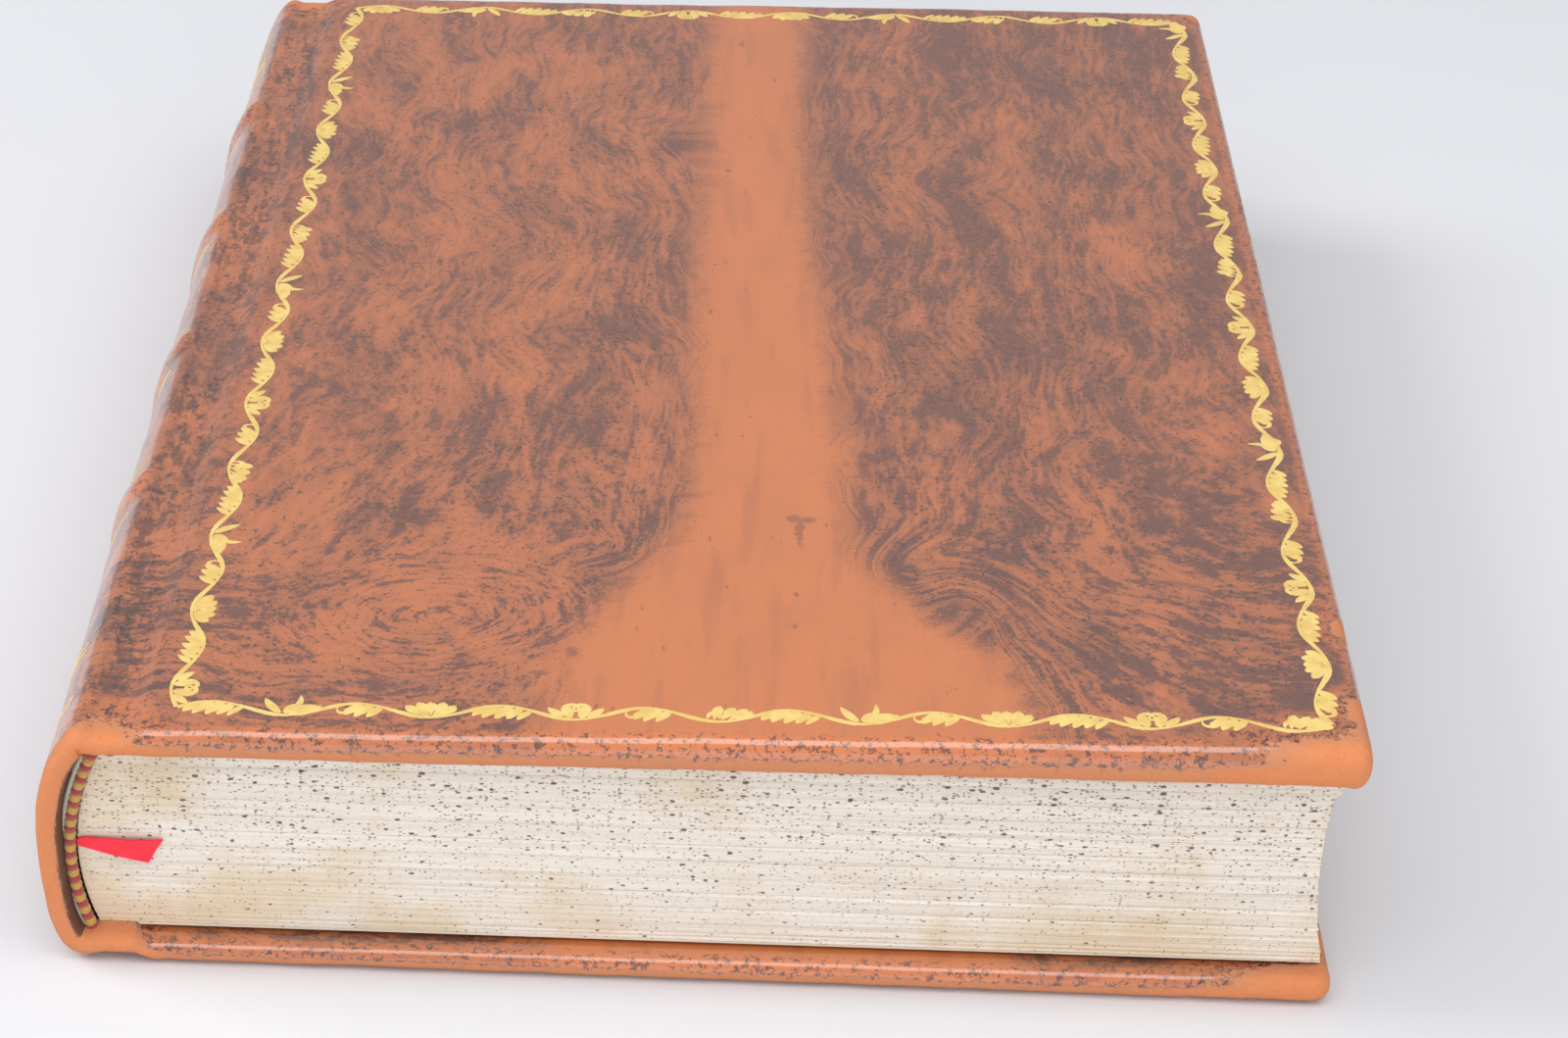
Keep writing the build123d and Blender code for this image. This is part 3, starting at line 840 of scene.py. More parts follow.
@dataclass(frozen=True)
class Thread:
    """Twisted or woven thread, striped across its run in one or two colours."""

    name: str
    first: Colour
    second: Colour
    pitch: float
    twist: float = 1.0
    roughness: float = 0.6
    strands: float = 5.0

    def make(self) -> bpy.types.Material:
        """The material, on the run and the way round that the mesh's UV map gives."""
        paint = Paint(self.name, roughness=self.roughness, Sheen_Weight=0.3)
        run, way, _ = paint.split(paint.flat_place())
        place = paint.place()
        blur = (paint.noise(place, 2.5, 2.0) - 0.5) * 0.25
        stripe = ((run * (1.0 / UV_PER_MM / self.pitch) + blur) * math.pi).call("SINE").step(-0.25, 0.25)
        turns = run * (1.0 / UV_PER_MM / self.pitch * self.strands) + way * self.twist
        strand = (turns * (2 * math.pi)).call("SINE")
        colour = paint.mix(stripe, self.first, self.second)
        shade = strand.step(-0.2, -1.0) * 0.35
        dark = tuple(0.35 * c for c in self.first)
        paint.colour(paint.mix(shade, colour, dark))
        paint.relief(strand * 0.5 + 0.5, 0.05)
        return paint.material


@dataclass(frozen=True)
class Weave:
    """Plain woven cloth on object coordinates: two crossed rows of threads."""

    name: str
    base: Colour
    shade: Colour
    pitch: float
    roughness: float = 0.7
    sheen: float = 0.4

    def make(self) -> bpy.types.Material:
        """The material."""
        paint = Paint(self.name, roughness=self.roughness, Sheen_Weight=self.sheen)
        place = paint.place()
        x, y, z = paint.split(place)
        turn = 2 * math.pi / self.pitch
        weft = ((x + y) * turn).call("SINE")
        warp = ((z + x * 0.5) * turn).call("SINE")
        cloud = paint.noise(place, 0.6, 3.0)
        height = weft * warp * 0.5 + 0.5
        tone = height * 0.35 + cloud * 0.65
        paint.colour(paint.mix(tone.step(0.3, 0.7), self.shade, self.base))
        paint.relief(height, 0.04)
        return paint.material


class Finish(Enum):
    """The finishes of the book, each made once."""

    CALF = TreeCalf()
    GILT = Gilt()
    PAGES = PageEdges()
    ENDPAPER = Paper("endpaper", (0.76, 0.70, 0.58), (0.66, 0.58, 0.44))
    INFILL = Paper("infill_paper", (0.70, 0.64, 0.52), (0.60, 0.52, 0.40))
    BOARD = Paper("millboard", (0.30, 0.24, 0.17), (0.20, 0.155, 0.11), 0.9)
    CARD = Paper("spine_card", (0.38, 0.31, 0.21), (0.28, 0.22, 0.15), 1.0)
    LINEN = Weave("spine_linen", (0.66, 0.60, 0.48), (0.45, 0.39, 0.29), 0.8)
    HEMP = Weave("sewing_hemp", (0.58, 0.48, 0.31), (0.38, 0.30, 0.18), 0.5)
    SILK = Thread("endband_silk", (0.40, 0.045, 0.04), (0.62, 0.36, 0.06), 0.82)
    CORE = Thread("endband_core", (0.66, 0.60, 0.50), (0.62, 0.56, 0.46), 1.6, 2.0, 0.8)
    RIBBON = Weave("ribbon_silk", (0.98, 0.038, 0.07), (0.84, 0.022, 0.042), 0.28, 0.6, 0.0)

    def material(self) -> bpy.types.Material:
        """The finish as a material, made when it is first asked for."""
        if self not in _made:
            _made[self] = self.value.make()
        return _made[self]


_made: dict[Finish, bpy.types.Material] = {}


# ------------------------------------------------------------------ leather
@dataclass(frozen=True)
class RolledEdge:
    """The way leather goes over an edge: along the face, round the edge and in underneath.

    One number says how far along that way a place is. It is positive on the face, from 0 to
    -turn on the round edge, and lower on the turned-in leather. The round edge is half a
    superellipse: inset is 1 - sin^e and level cos^e of the angle turned, times their sizes.
    """

    inset: float = 1.8
    turn: float = 4.0
    power: float = 0.8
    turn_in: float = 12.0
    corner_r: float = 2.0
    corner_zone: float = 14.0

    def from_outline(self, way: Array) -> Array:
        """Distance from the outline of the piece, seen from above."""
        angle = np.pi * np.clip(-way / self.turn, 0.0, 1.0)
        edge = self.inset * (1.0 - np.sin(angle) ** self.power)
        return edge + np.maximum(way, 0.0) + np.maximum(-self.turn - way, 0.0)

    def level(self, way: Array) -> Array:
        """Level between the faces: 1 on the outer face and -1 on the inner one."""
        angle = np.pi * np.clip(-way / self.turn, 0.0, 1.0)
        return np.sign(np.cos(angle)) * np.abs(np.cos(angle)) ** self.power

    def ways(self, face: Array) -> Array:
        """The steps over an edge and on along a face.

        Args:
            face: Steps along the face, rising from 0.

        Returns:
            All steps, from the end of the turned-in leather to the end of the face.
        """
        under = -self.turn - np.array([self.turn_in - self.inset, 7.0, 4.0, 2.0, 1.0, 0.4])
        edge = np.linspace(-self.turn, 0.0, 17)
        return np.concatenate([under, edge, face[1:]])

    def plan(self, across: Array, along: Array) -> tuple[Array, Array, Array]:
        """Wrap a sheet over two edges that meet in a round, mitred corner.

        Rings at one distance from the outline stay rings. Near a corner the places of a ring
        close up towards the mitre, and then go round on an arc.

        Args:
            across: Way over the fore-edge, as a column.
            along: Way over the head or tail edge, as a row.

        Returns:
            Distance from the fore-edge, distance from the head or tail edge, and level.
        """
        low, high = np.minimum(across, along), np.maximum(across, along)
        ring = self.from_outline(low)
        zone = self.corner_zone - self.inset
        squeezed = ring + (self.corner_zone - ring) * (high - low) / (zone - low + 1e-9)
        slide = np.where(high >= zone, self.inset + high, squeezed)
        radius = np.maximum(self.corner_r - ring, 1e-9)
        share = np.clip((self.corner_r - slide) / radius, 0.0, 1.0) * (ring < self.corner_r)
        angle = np.pi / 4 * share
        round_ring = self.corner_r - radius * np.cos(angle)
        round_slide = self.corner_r - radius * np.sin(angle)
        ring = np.where(share > 0, round_ring, ring)
        slide = np.where(share > 0, round_slide, slide)
        fore = across <= along
        return np.where(fore, ring, slide), np.where(fore, slide, ring), self.level(low)


@dataclass
class Binding:
    """The calf skin: a cover's leather on each side, and the spine panel between them."""

    places: Places
    edge: RolledEdge = RolledEdge()
    seam_in: float = 1.0
    groove_d: float = 0.9
    groove_end: float = 3.6
    joint_t: float = 2.45
    spine_t: float = 2.6
    wall: float = 0.45
    band_w: float = 2.6
    band_zone: float = 4.0
    band_steps: int = 17
    band_clear: float = 3.0
    flat_from: float = 6.0
    fine_step: float = 0.7
    profile_steps: int = 110

    def __post_init__(self) -> None:
        """Work out where the skins meet."""
        self.x_seam = self.places.x_joint - self.seam_in

    def steps_along(self) -> tuple[Array, Array]:
        """Ways over the tail edge, along the book and over the head edge.

        Returns:
            The ways, and for each the end it belongs to: -1 for the tail and 1 for the head.
        """
        middle = self.places.half_h - self.edge.inset
        zone = self.edge.corner_zone
        near = np.arange(0.0, zone, self.fine_step)
        ways = self.edge.ways(np.concatenate([near, np.arange(zone, middle, 1.9), [middle]]))
        end = np.concatenate([-np.ones(len(ways)), np.ones(len(ways) - 1)])
        return np.concatenate([ways, ways[-2::-1]]), end

    def groove(self, x: Array) -> Array:
        """Depth of the joint's groove below the cover's face."""
        start = self.places.x_joint + self.seam_in
        end = self.places.x_joint + self.groove_end
        return self.groove_d * (1.0 - smooth_step(x, start, end))

    def cover(self, front: bool) -> Shape:
        """The leather of one cover, from the seam in the groove to inside the fore-edge.

        The sheet is wrapped over the fore-edge and both ends. Its height lies between the
        outer and the inner face by the level of the rolled edge.

        Args:
            front: True for the front cover, False for the back cover.

        Returns:
            A closed shell that carries its wear and its painted shadow.
        """
        p, edge = self.places, self.edge
        side = p.side(front)
        x_fore, up = side.x_fore, side.up
        reach = x_fore - edge.inset - self.x_seam
        groove_from = reach - self.groove_end - 2.0
        face_steps = np.concatenate([
            np.arange(0.0, edge.corner_zone, self.fine_step),
            np.arange(edge.corner_zone, groove_from, 2.2),
            np.linspace(groove_from, reach, 24)])
        across = edge.ways(face_steps)[:, None]
        along, end = self.steps_along()
        from_fore, from_end, level = edge.plan(across, along[None, :])
        x = x_fore - from_fore
        y = end[None, :] * (p.half_h - from_end)
        outer = side.face.at(x) - up * self.groove(x)
        board = smooth_step(x, p.x_joint + 0.9, p.x_joint + 2.4)
        thin = outer - up * self.joint_t
        inner = thin + (side.inside.at(x) - thin) * board
        z = (outer + inner) / 2 + level * (outer - inner) / 2
        points = np.stack([x, y, z], axis=-1)
        swell = soft_noise(points, 9.0, 3) * 0.10 + soft_noise(points, 3.0, 4) * 0.05
        edge_zone = smooth_step(-np.minimum(from_fore, from_end), -4.0, -0.5)
        away = smooth_step(x, p.x_joint + 1.0, p.x_joint + 6.0)
        points[..., 2] += up * (swell - 0.12) * edge_zone * away
        points[..., 1] -= end[None, :] * (np.abs(swell) * 0.5) * edge_zone * away
        values = self.cover_wear_and_shadow(points, level, from_fore, from_end, front)
        frayed = np.reshape(values["wear"], x.shape) * edge_zone * away
        droop = Scuff(x_fore, -p.half_h, 5.0, 4.0, 0.35).at(points) if front else 0.0
        points[..., 2] += up * (soft_noise(points, 1.3, 5) - 1.0) * 0.1 * frayed - droop
        points[..., 1] -= end[None, :] * np.abs(soft_noise(points, 1.6, 6)) * 0.16 * frayed
        shape = Shape.grid(points, flip=front)
        shape.values = values
        return shape.walled(*x.shape, self.wall)

    def cover_wear_and_shadow(self, points: Array, level: Array, from_fore: Array, from_end: Array,
                   front: bool) -> dict[str, Array]:
        """Worn places of a cover's leather, and a painted shadow along the bottom of its edge.

        Args:
            points: Places of the sheet.
            level: Level of each place between the faces.
            from_fore: Distance of each place from the fore-edge.
            from_end: Distance of each place from the nearer end.
            front: True for the front cover.

        Returns:
            The values that the mesh carries: wear, and as inside the painted shadow along the bottom of the
                edge, where the cover meets the leaves or the floor.
        """
        p = self.places
        low_half = -level if front else level
        on_edge = smooth_step(-np.minimum(from_fore, from_end), -2.4, -1.0)
        wear = smooth_step(low_half, -0.55, 0.25) * on_edge * 0.6
        x_fore = p.side(front).x_fore
        scuffs = [
            Scuff(x_fore - 1.0, -p.half_h, 11.0, 4.4, 1.0),
            Scuff(x_fore - 1.0, -p.half_h + 8.0, 2.2, 2.6, 0.8),
            Scuff(x_fore - 1.0, -p.half_h + 23.0, 1.7, 2.4, 0.8),
            Scuff(x_fore, p.half_h, 5.0, 4.5, 0.95),
            Scuff(self.x_seam, -p.half_h, 4.0, 5.0, 0.95),
            Scuff(self.x_seam, p.half_h, 4.0, 5.0, 0.95),
            Scuff(x_fore, 20.0, 1.2, 40.0, 0.45),
        ]
        wear = wear + sum(scuff.at(points) for scuff in scuffs) * np.where(on_edge > 0, 1.0, 0.95)
        wear = wear + on_edge * 0.12
        # Painted shadow: a dark line along the bottom of the edge, where the cover meets the leaves or the
        # floor.
        rim_shadow = smooth_step(-np.minimum(from_fore, from_end), -2.5, -1.9)
        rim_shadow = smooth_step(low_half, 0.9, 1.0) * rim_shadow
        return {"wear": np.clip(wear, 0.0, 1.0).ravel(), "inside": rim_shadow.ravel() * 0.66}

    def spine_profile(self) -> tuple[Array, Array]:
        """End view of the spine panel, from the front seam round to the back seam.

        Returns:
            The places, and the outward direction at each.
        """
        p = self.places
        top = float(p.front.face.at(self.x_seam)) - self.groove_d
        low = self.groove_d
        x = p.x_panel
        points = [
            (p.x_joint, top), (self.x_seam, top), (self.x_seam - 0.9, top),
            (x + 5.2, top + 0.36), (x + 3.9, top - 0.3), (x + 2.4, top - 2.4),
            (x + 1.2, top - 5.3), (x + 0.25, top - 10.0), (x, top / 2 - 0.6),
            (x + 0.35, low + 6.9), (x + 1.15, low + 2.7), (x + 2.3, low + 0.45), (x + 4.2, low - 0.45),
            (self.x_seam - 0.9, low), (self.x_seam, low), (p.x_joint, low),
        ]
        curve = smooth_curve(points, self.profile_steps)
        way = np.gradient(curve, axis=0)
        way /= np.linalg.norm(way, axis=1, keepdims=True)
        return curve, np.stack([way[:, 1], -way[:, 0]], axis=1)

    @staticmethod
    def spine_swell(points: Array) -> Array:
        """The spine leather's unevenness, in millimetres, which its gilding follows."""
        return soft_noise(points, 7.0, 11) * 0.14 + soft_noise(points, 2.4, 12) * 0.06 - 0.1

    def spine_steps(self) -> tuple[Array, Array]:
        """Steps along the spine panel, closer together over each raised band.

        Returns:
            Places from the turned-in tail to the turned-in head, and the level of each.
        """
        along, end = self.steps_along()
        y = end * (self.places.half_h - self.edge.from_outline(along))
        level = self.edge.level(along)
        near_band = np.linspace(-self.band_zone, self.band_zone, self.band_steps)
        close = np.unique(np.round(np.add.outer(self.places.bands, near_band), 3))
        flat = along > self.flat_from
        clear = np.abs(y[:, None] - close).min(axis=1) >= self.band_clear
        middle = np.sort(np.concatenate([y[flat & clear], close]))
        tail, head = ~flat & (end < 0), ~flat & (end > 0)
        levels = np.concatenate([level[tail], np.ones(len(middle)), level[head]])
        return np.concatenate([y[tail], middle, y[head]]), levels

    def spine(self) -> Shape:
        """The spine panel: its profile carried from tail to head, rolled in at both ends.

        Each place is the profile moved along its outward direction by the raised bands, and
        inwards by the thickness as the level falls over the end.

        Returns:
            A closed shell that carries its wear and its painted shade.
        """
        p = self.places
        curve, out = self.spine_profile()
        y, level = self.spine_steps()
        share = np.linspace(0.0, 1.0, len(curve))
        from_seam = np.minimum(share, 1.0 - share)[:, None]
        near_seam = smooth_step(from_seam, 0.0, 0.12)
        thick = self.joint_t + (self.spine_t - self.joint_t) * near_seam
        ridge = sum(np.exp(-(np.abs((y - b) / self.band_w)) ** 3.0) for b in p.bands) * p.band_h
        ridge = ridge[None, :] * smooth_step(from_seam, 0.04, 0.12)
        lift = ridge - thick * (1.0 - level[None, :]) / 2
        x = curve[:, 0:1] + out[:, 0:1] * lift
        z = curve[:, 1:2] + out[:, 1:2] * lift
        points = np.stack([x, np.broadcast_to(y, x.shape), z], axis=-1)
        swell = self.spine_swell(points) * near_seam
        points[..., 0] += out[:, 0:1] * swell
        points[..., 2] += out[:, 1:2] * swell
        shape = Shape.grid(points, flip=True)
        shape.values = self.spine_wear_and_shade(points, level, from_seam, ridge)
        return shape.walled(*x.shape, self.wall)

    def spine_wear_and_shade(self, points: Array, level: Array, from_seam: Array,
                   ridge: Array) -> dict[str, Array]:
        """Worn places of the spine's leather: both ends, the bands and the shoulders, and painted shade
        inside its turned-in ends.

        Args:
            points: Places of the sheet.
            level: Level of each step along the spine between its faces.
            from_seam: Share of the profile between each of its places and the nearer seam.
            ridge: Height of the raised bands at each place.

        Returns:
            The values that the mesh carries: wear, and as inside the painted shade of the hollow inside the
                turned-in ends.
        """
        p = self.places
        wear = smooth_step(np.abs(points[..., 1]), p.half_h - 3.4, p.half_h - 1.2) * 0.85
        wear = wear + ridge / p.band_h * 0.42 * (0.6 + 0.4 * soft_noise(points, 5.0, 13))
        shoulders = [Scuff(self.x_seam, end * p.half_h, 4.0, 5.0, 0.95) for end in (-1, 1)]
        wear = np.maximum(wear, sum(scuff.at(points) for scuff in shoulders))
        # Painted shade: the inner side of each turned-in end is darkened, for the hollow between the roll and
        # the endband.
        inside = smooth_step(-level, 0.45, 0.95) * smooth_step(from_seam, 0.10, 0.17)
        wear = wear * (1.0 - inside)
        return {"wear": np.clip(wear, 0.0, 1.0).ravel(), "inside": inside.ravel()}

    def make(self) -> list[bpy.types.Object]:
        """Build the three skins, and hang the spine on its body; the covers are built in place and not hung.

        Returns:
            The pieces.
        """
        skin = Finish.CALF.material()
        spine = self.spine().build("spine_calf", skin)
        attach(spine, "book_block")
        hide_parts("spine_leather")
        pieces = [spine]
        start = (self.x_seam + 0.15) * MM
        stop = (self.places.x_joint + 0.9) * MM
        for side, height in (("front", self.places.joint_t * MM), ("back", 0.0)):
            cover = self.cover(side == "front").build(f"{side}_cover_calf", skin)
            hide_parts(f"{side}_cover_leather")
            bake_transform(cover)
            pieces.append(cover)
        return pieces


# ------------------------------------------------------------------ gilding
@dataclass(frozen=True)
class Stroke:
    """One pressed leaf, petal or curl of the roll, in millimetres along and across it.

    The stroke starts at a place and an angle and turns by turn radians, the faster towards
    its end the higher curl is. Its width swells from the start, is widest at peak, and closes.
    """

    s: float
    w: float
    angle: float
    length: float
    turn: float
    width: float
    curl: float = 1.0
    peak: float = 0.45


class Motif(Enum):
    """Ornaments of the vine: two that hang under an arch and four that stand in a trough."""

    FEATHER = (
        Stroke(2.7, 1.0, 3.55, 2.3, 0.5, 0.85), Stroke(3.7, 1.05, 3.65, 2.5, 0.5, 0.9),
        Stroke(4.8, 0.95, 3.75, 2.4, 0.45, 0.9), Stroke(5.8, 0.65, 3.75, 2.1, 0.4, 0.8),
        Stroke(6.7, 0.2, 3.7, 1.8, 0.4, 0.6),
    )
    CURL_FEATHER = (
        Stroke(2.4, 0.9, 3.3, 2.9, 5.2, 0.5, 1.5, 0.8), Stroke(4.3, 1.0, 3.65, 2.3, 0.5, 0.85),
        Stroke(5.3, 0.85, 3.7, 2.4, 0.45, 0.85), Stroke(6.2, 0.5, 3.75, 2.0, 0.4, 0.75),
    )
    FAN = (
        Stroke(3.6, -0.9, 2.75, 2.6, -0.5, 0.85, 1.0, 0.7),
        Stroke(3.7, -0.9, 2.2, 2.3, -0.3, 0.85, 1.0, 0.72),
        Stroke(3.8, -0.95, 1.6, 2.1, 0.0, 0.9, 1.0, 0.74),
        Stroke(3.9, -0.9, 0.95, 2.3, 0.3, 0.85, 1.0, 0.72),
        Stroke(4.0, -0.9, 0.4, 2.5, 0.5, 0.85, 1.0, 0.7),
    )
    VOLUTES = (
        Stroke(3.6, -0.5, 2.9, 4.2, -5.6, 0.5, 1.5, 0.3),
        Stroke(4.0, -0.5, 0.25, 4.2, 5.6, 0.5, 1.5, 0.3),
        Stroke(3.3, -0.9, 2.0, 1.9, -0.6, 0.8), Stroke(4.3, -0.9, 1.14, 1.9, 0.6, 0.8),
        Stroke(2.6, -0.6, 2.6, 1.9, -0.4, 0.7), Stroke(5.0, -0.6, 0.54, 1.9, 0.4, 0.7),
    )
    BURST = (
        Stroke(3.2, -0.8, 2.35, 2.7, -0.35, 0.7), Stroke(3.6, -0.8, 1.2, 2.0, -0.8, 0.8),
        Stroke(4.0, -0.8, 0.75, 2.6, -0.5, 0.9), Stroke(4.4, -0.8, 0.3, 2.7, 0.2, 0.9),
        Stroke(3.8, -0.7, 0.55, 3.0, 1.2, 0.55),
    )
    SHELL = (
        Stroke(2.6, -0.7, 2.0, 2.4, -4.2, 0.55, 1.3, 0.6), Stroke(3.2, -0.9, 1.6, 2.2, -0.6, 0.85, 1.0, 0.7),
        Stroke(3.9, -0.95, 1.2, 2.3, -0.4, 0.9, 1.0, 0.7), Stroke(4.6, -0.9, 0.9, 2.4, -0.3, 0.9, 1.0, 0.7),
        Stroke(5.2, -0.8, 0.5, 2.1, 0.3, 0.8, 1.0, 0.7),
    )


ARCH_MOTIFS = (Motif.FEATHER, Motif.CURL_FEATHER)
TROUGH_MOTIFS = (Motif.BURST, Motif.FAN, Motif.VOLUTES, Motif.SHELL)
ACROSS = np.array([-1.0, 0.0, 1.0])


@dataclass
class GiltRoll:
    """A vine scroll rolled in gold round a cover, and gilt lines across the spine."""

    places: Places
    binding: Binding
    x_low: float = -53.5
    x_high: float = 64.55
    y_half: float = 87.7
    arch: float = 7.3
    swing: float = 1.12
    stem_w: float = 0.92
    boldness: float = 2.6
    reach: float = 1.18
    lift: float = 0.05
    sink: float = 0.05
    steps: int = 12
    pair_y: float = 74.0
    pair_half: float = 0.65
    single_y: float = 83.0
    from_band: float = 5.2
    line_half: float = 0.3
    line_margin: int = 14

    @property
    def ridge(self) -> Array:
        """Heights across a strip: its middle stands out and both edges are sunk."""
        return np.array([-self.sink, self.lift, -self.sink])

    def draw(self, strokes: Sequence[Stroke], offsets: Array, scale: float) -> tuple[Array, Array, Array]:
        """Lay strokes out along a side of the border.

        The middle line of a stroke is the running sum of its direction, and its edges stand
        off it by half its width, which follows the sine of a bent share of its length.

        Args:
            strokes: Strokes of one motif.
            offsets: Start of each copy of the motif along the side.
            scale: Stretch along the side that makes the motifs fit.

        Returns:
            Places along and across the side, and heights, each copies by steps by three.
        """
        s0, w0, angle, length, turn, width, curl, peak = np.array(
            [[k.s, k.w, k.angle, k.length, k.turn, k.width, k.curl, k.peak] for k in strokes]).T[:, :, None]
        t = np.linspace(0.0, 1.0, self.steps)[None, :]
        heading = angle + turn * t**curl
        step = length * self.reach / (self.steps - 1)
        zero = np.zeros_like(s0)
        s = s0 + np.concatenate([zero, np.cumsum(np.cos(heading[:, 1:]), axis=1) * step], axis=1)
        w = w0 + np.concatenate([zero, np.cumsum(np.sin(heading[:, 1:]), axis=1) * step], axis=1)
        bend = np.log(0.5) / np.log(peak)
        half = width * self.boldness / 2 * (np.sin(np.pi * np.clip(t**bend, 0.0, 1.0)) ** 0.7 + 0.06)
        s = s[..., None] - np.sin(heading)[..., None] * half[..., None] * ACROSS
        w = w[..., None] + np.cos(heading)[..., None] * half[..., None] * ACROSS
        h = np.broadcast_to(self.ridge, s.shape)
        s = (s[None] * scale + offsets[:, None, None, None]).reshape(-1, self.steps, 3)
        return s, np.tile(w, (len(offsets), 1, 1)), np.tile(h, (len(offsets), 1, 1))

    def side(self, length: float, first: int) -> list[tuple[Array, Array, Array]]:
        """All strips of one side of the border: the wavy stem and its motifs.

        The stem is a sine wave. Its even half-waves are arches with leaves hanging under
        them, and its odd ones are troughs with an ornament standing in each.

        Args:
            length: Length of the side.
            first: Where in the order of ornaments the side starts.

        Returns:
            Strips, each as places along, places across and heights.
        """
        count = int(round(length / self.arch / 2)) * 2
        half_wave = length / count
        scale = half_wave / self.arch
        s = np.linspace(0.0, length, count * 8 + 1)
        phase = np.pi * s / half_wave
        w = self.swing * np.sin(phase)
        slope = self.swing * np.pi / half_wave * np.cos(phase)
        half = self.stem_w / 2 * (1.0 + 0.35 * np.sin(phase * 2 + 0.6))
        norm = np.sqrt(1.0 + slope**2)
        stem_s = s[:, None] - (slope / norm * half)[:, None] * ACROSS
        stem_w = w[:, None] + (1.0 / norm * half)[:, None] * ACROSS
        heights = np.broadcast_to(self.ridge, stem_s.shape)
        strips = [(stem_s[None], stem_w[None], heights[None])]
        for start, motifs in enumerate((ARCH_MOTIFS, TROUGH_MOTIFS)):
            waves = np.arange(start, count, 2)
            for k, motif in enumerate(motifs):
                own = waves[(waves // 2 + first) % len(motifs) == k]
                strips.append(self.draw(motif.value, own * half_wave, scale))
        return strips

    def border(self, front: bool) -> Shape:
        """The whole border of one cover, laid on its face.

        Args:
            front: True for the front cover, False for the back cover.

        Returns:
            The strips of all four sides.
        """
        cover = self.places.side(front)
        width, height = self.x_high - self.x_low, 2 * self.y_half
        corners = [(self.x_low, -self.y_half), (self.x_high, -self.y_half),
                   (self.x_high, self.y_half), (self.x_low, self.y_half)]
        ways = [(1.0, 0.0), (0.0, 1.0), (-1.0, 0.0), (0.0, -1.0)]
        shapes = []
        for k, (corner, way) in enumerate(zip(corners, ways)):
            for s, w, h in self.side((width, height)[k % 2], k):
                x = corner[0] + way[0] * s - way[1] * w
                y = corner[1] + way[1] * s + way[0] * w
                points = np.stack([x, y, cover.face.at(x) + cover.up * h], axis=-1)
                shapes += [Shape.grid(strip, flip=front) for strip in points]
        return Shape.joined(shapes)

    def spine_lines(self) -> Shape:
        """Gilt lines across the spine: a pair and one more at each end, and two by each band."""
        curve, out = self.binding.spine_profile()
        span = slice(self.line_margin, -self.line_margin)
        curve, out = curve[span], out[span]
        rows = []
        for end in (-1, 1):
            pair = end * self.pair_y
            rows += [pair - self.pair_half, pair + self.pair_half, end * self.single_y]
        for band in self.places.bands:
            rows += [band - self.from_band, band + self.from_band]
        height = self.ridge + np.array([-0.05, 0.02, -0.05])
        along = np.array([0.0, 1.0, 0.0])
        normal = np.insert(out, 1, 0.0, axis=1)[:, None, :]
        shapes = []
        for y in rows:
            base = np.insert(curve, 1, y, axis=1)[:, None, :]
            line = base + normal * height[None, :, None]
            line = line + along * ACROSS[None, :, None] * self.line_half
            line = line + normal * self.binding.spine_swell(line)[..., None]
            shapes.append(Shape.grid(line, flip=True))
        return Shape.joined(shapes)

    def make(self) -> list[bpy.types.Object]:
        """Build the gilding and hang it on its bodies.

        Returns:
            The pieces.
        """
        gold = Finish.GILT.material()
        pieces = []
        for side in ("front", "back"):
            piece = self.border(side == "front").build(f"{side}_gilt_border", gold)
            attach(piece, f"{side}_cover")
            pieces.append(piece)
        lines = self.spine_lines().build("spine_gilt_lines", gold)
        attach(lines, "book_block")
        pieces.append(lines)
        return pieces


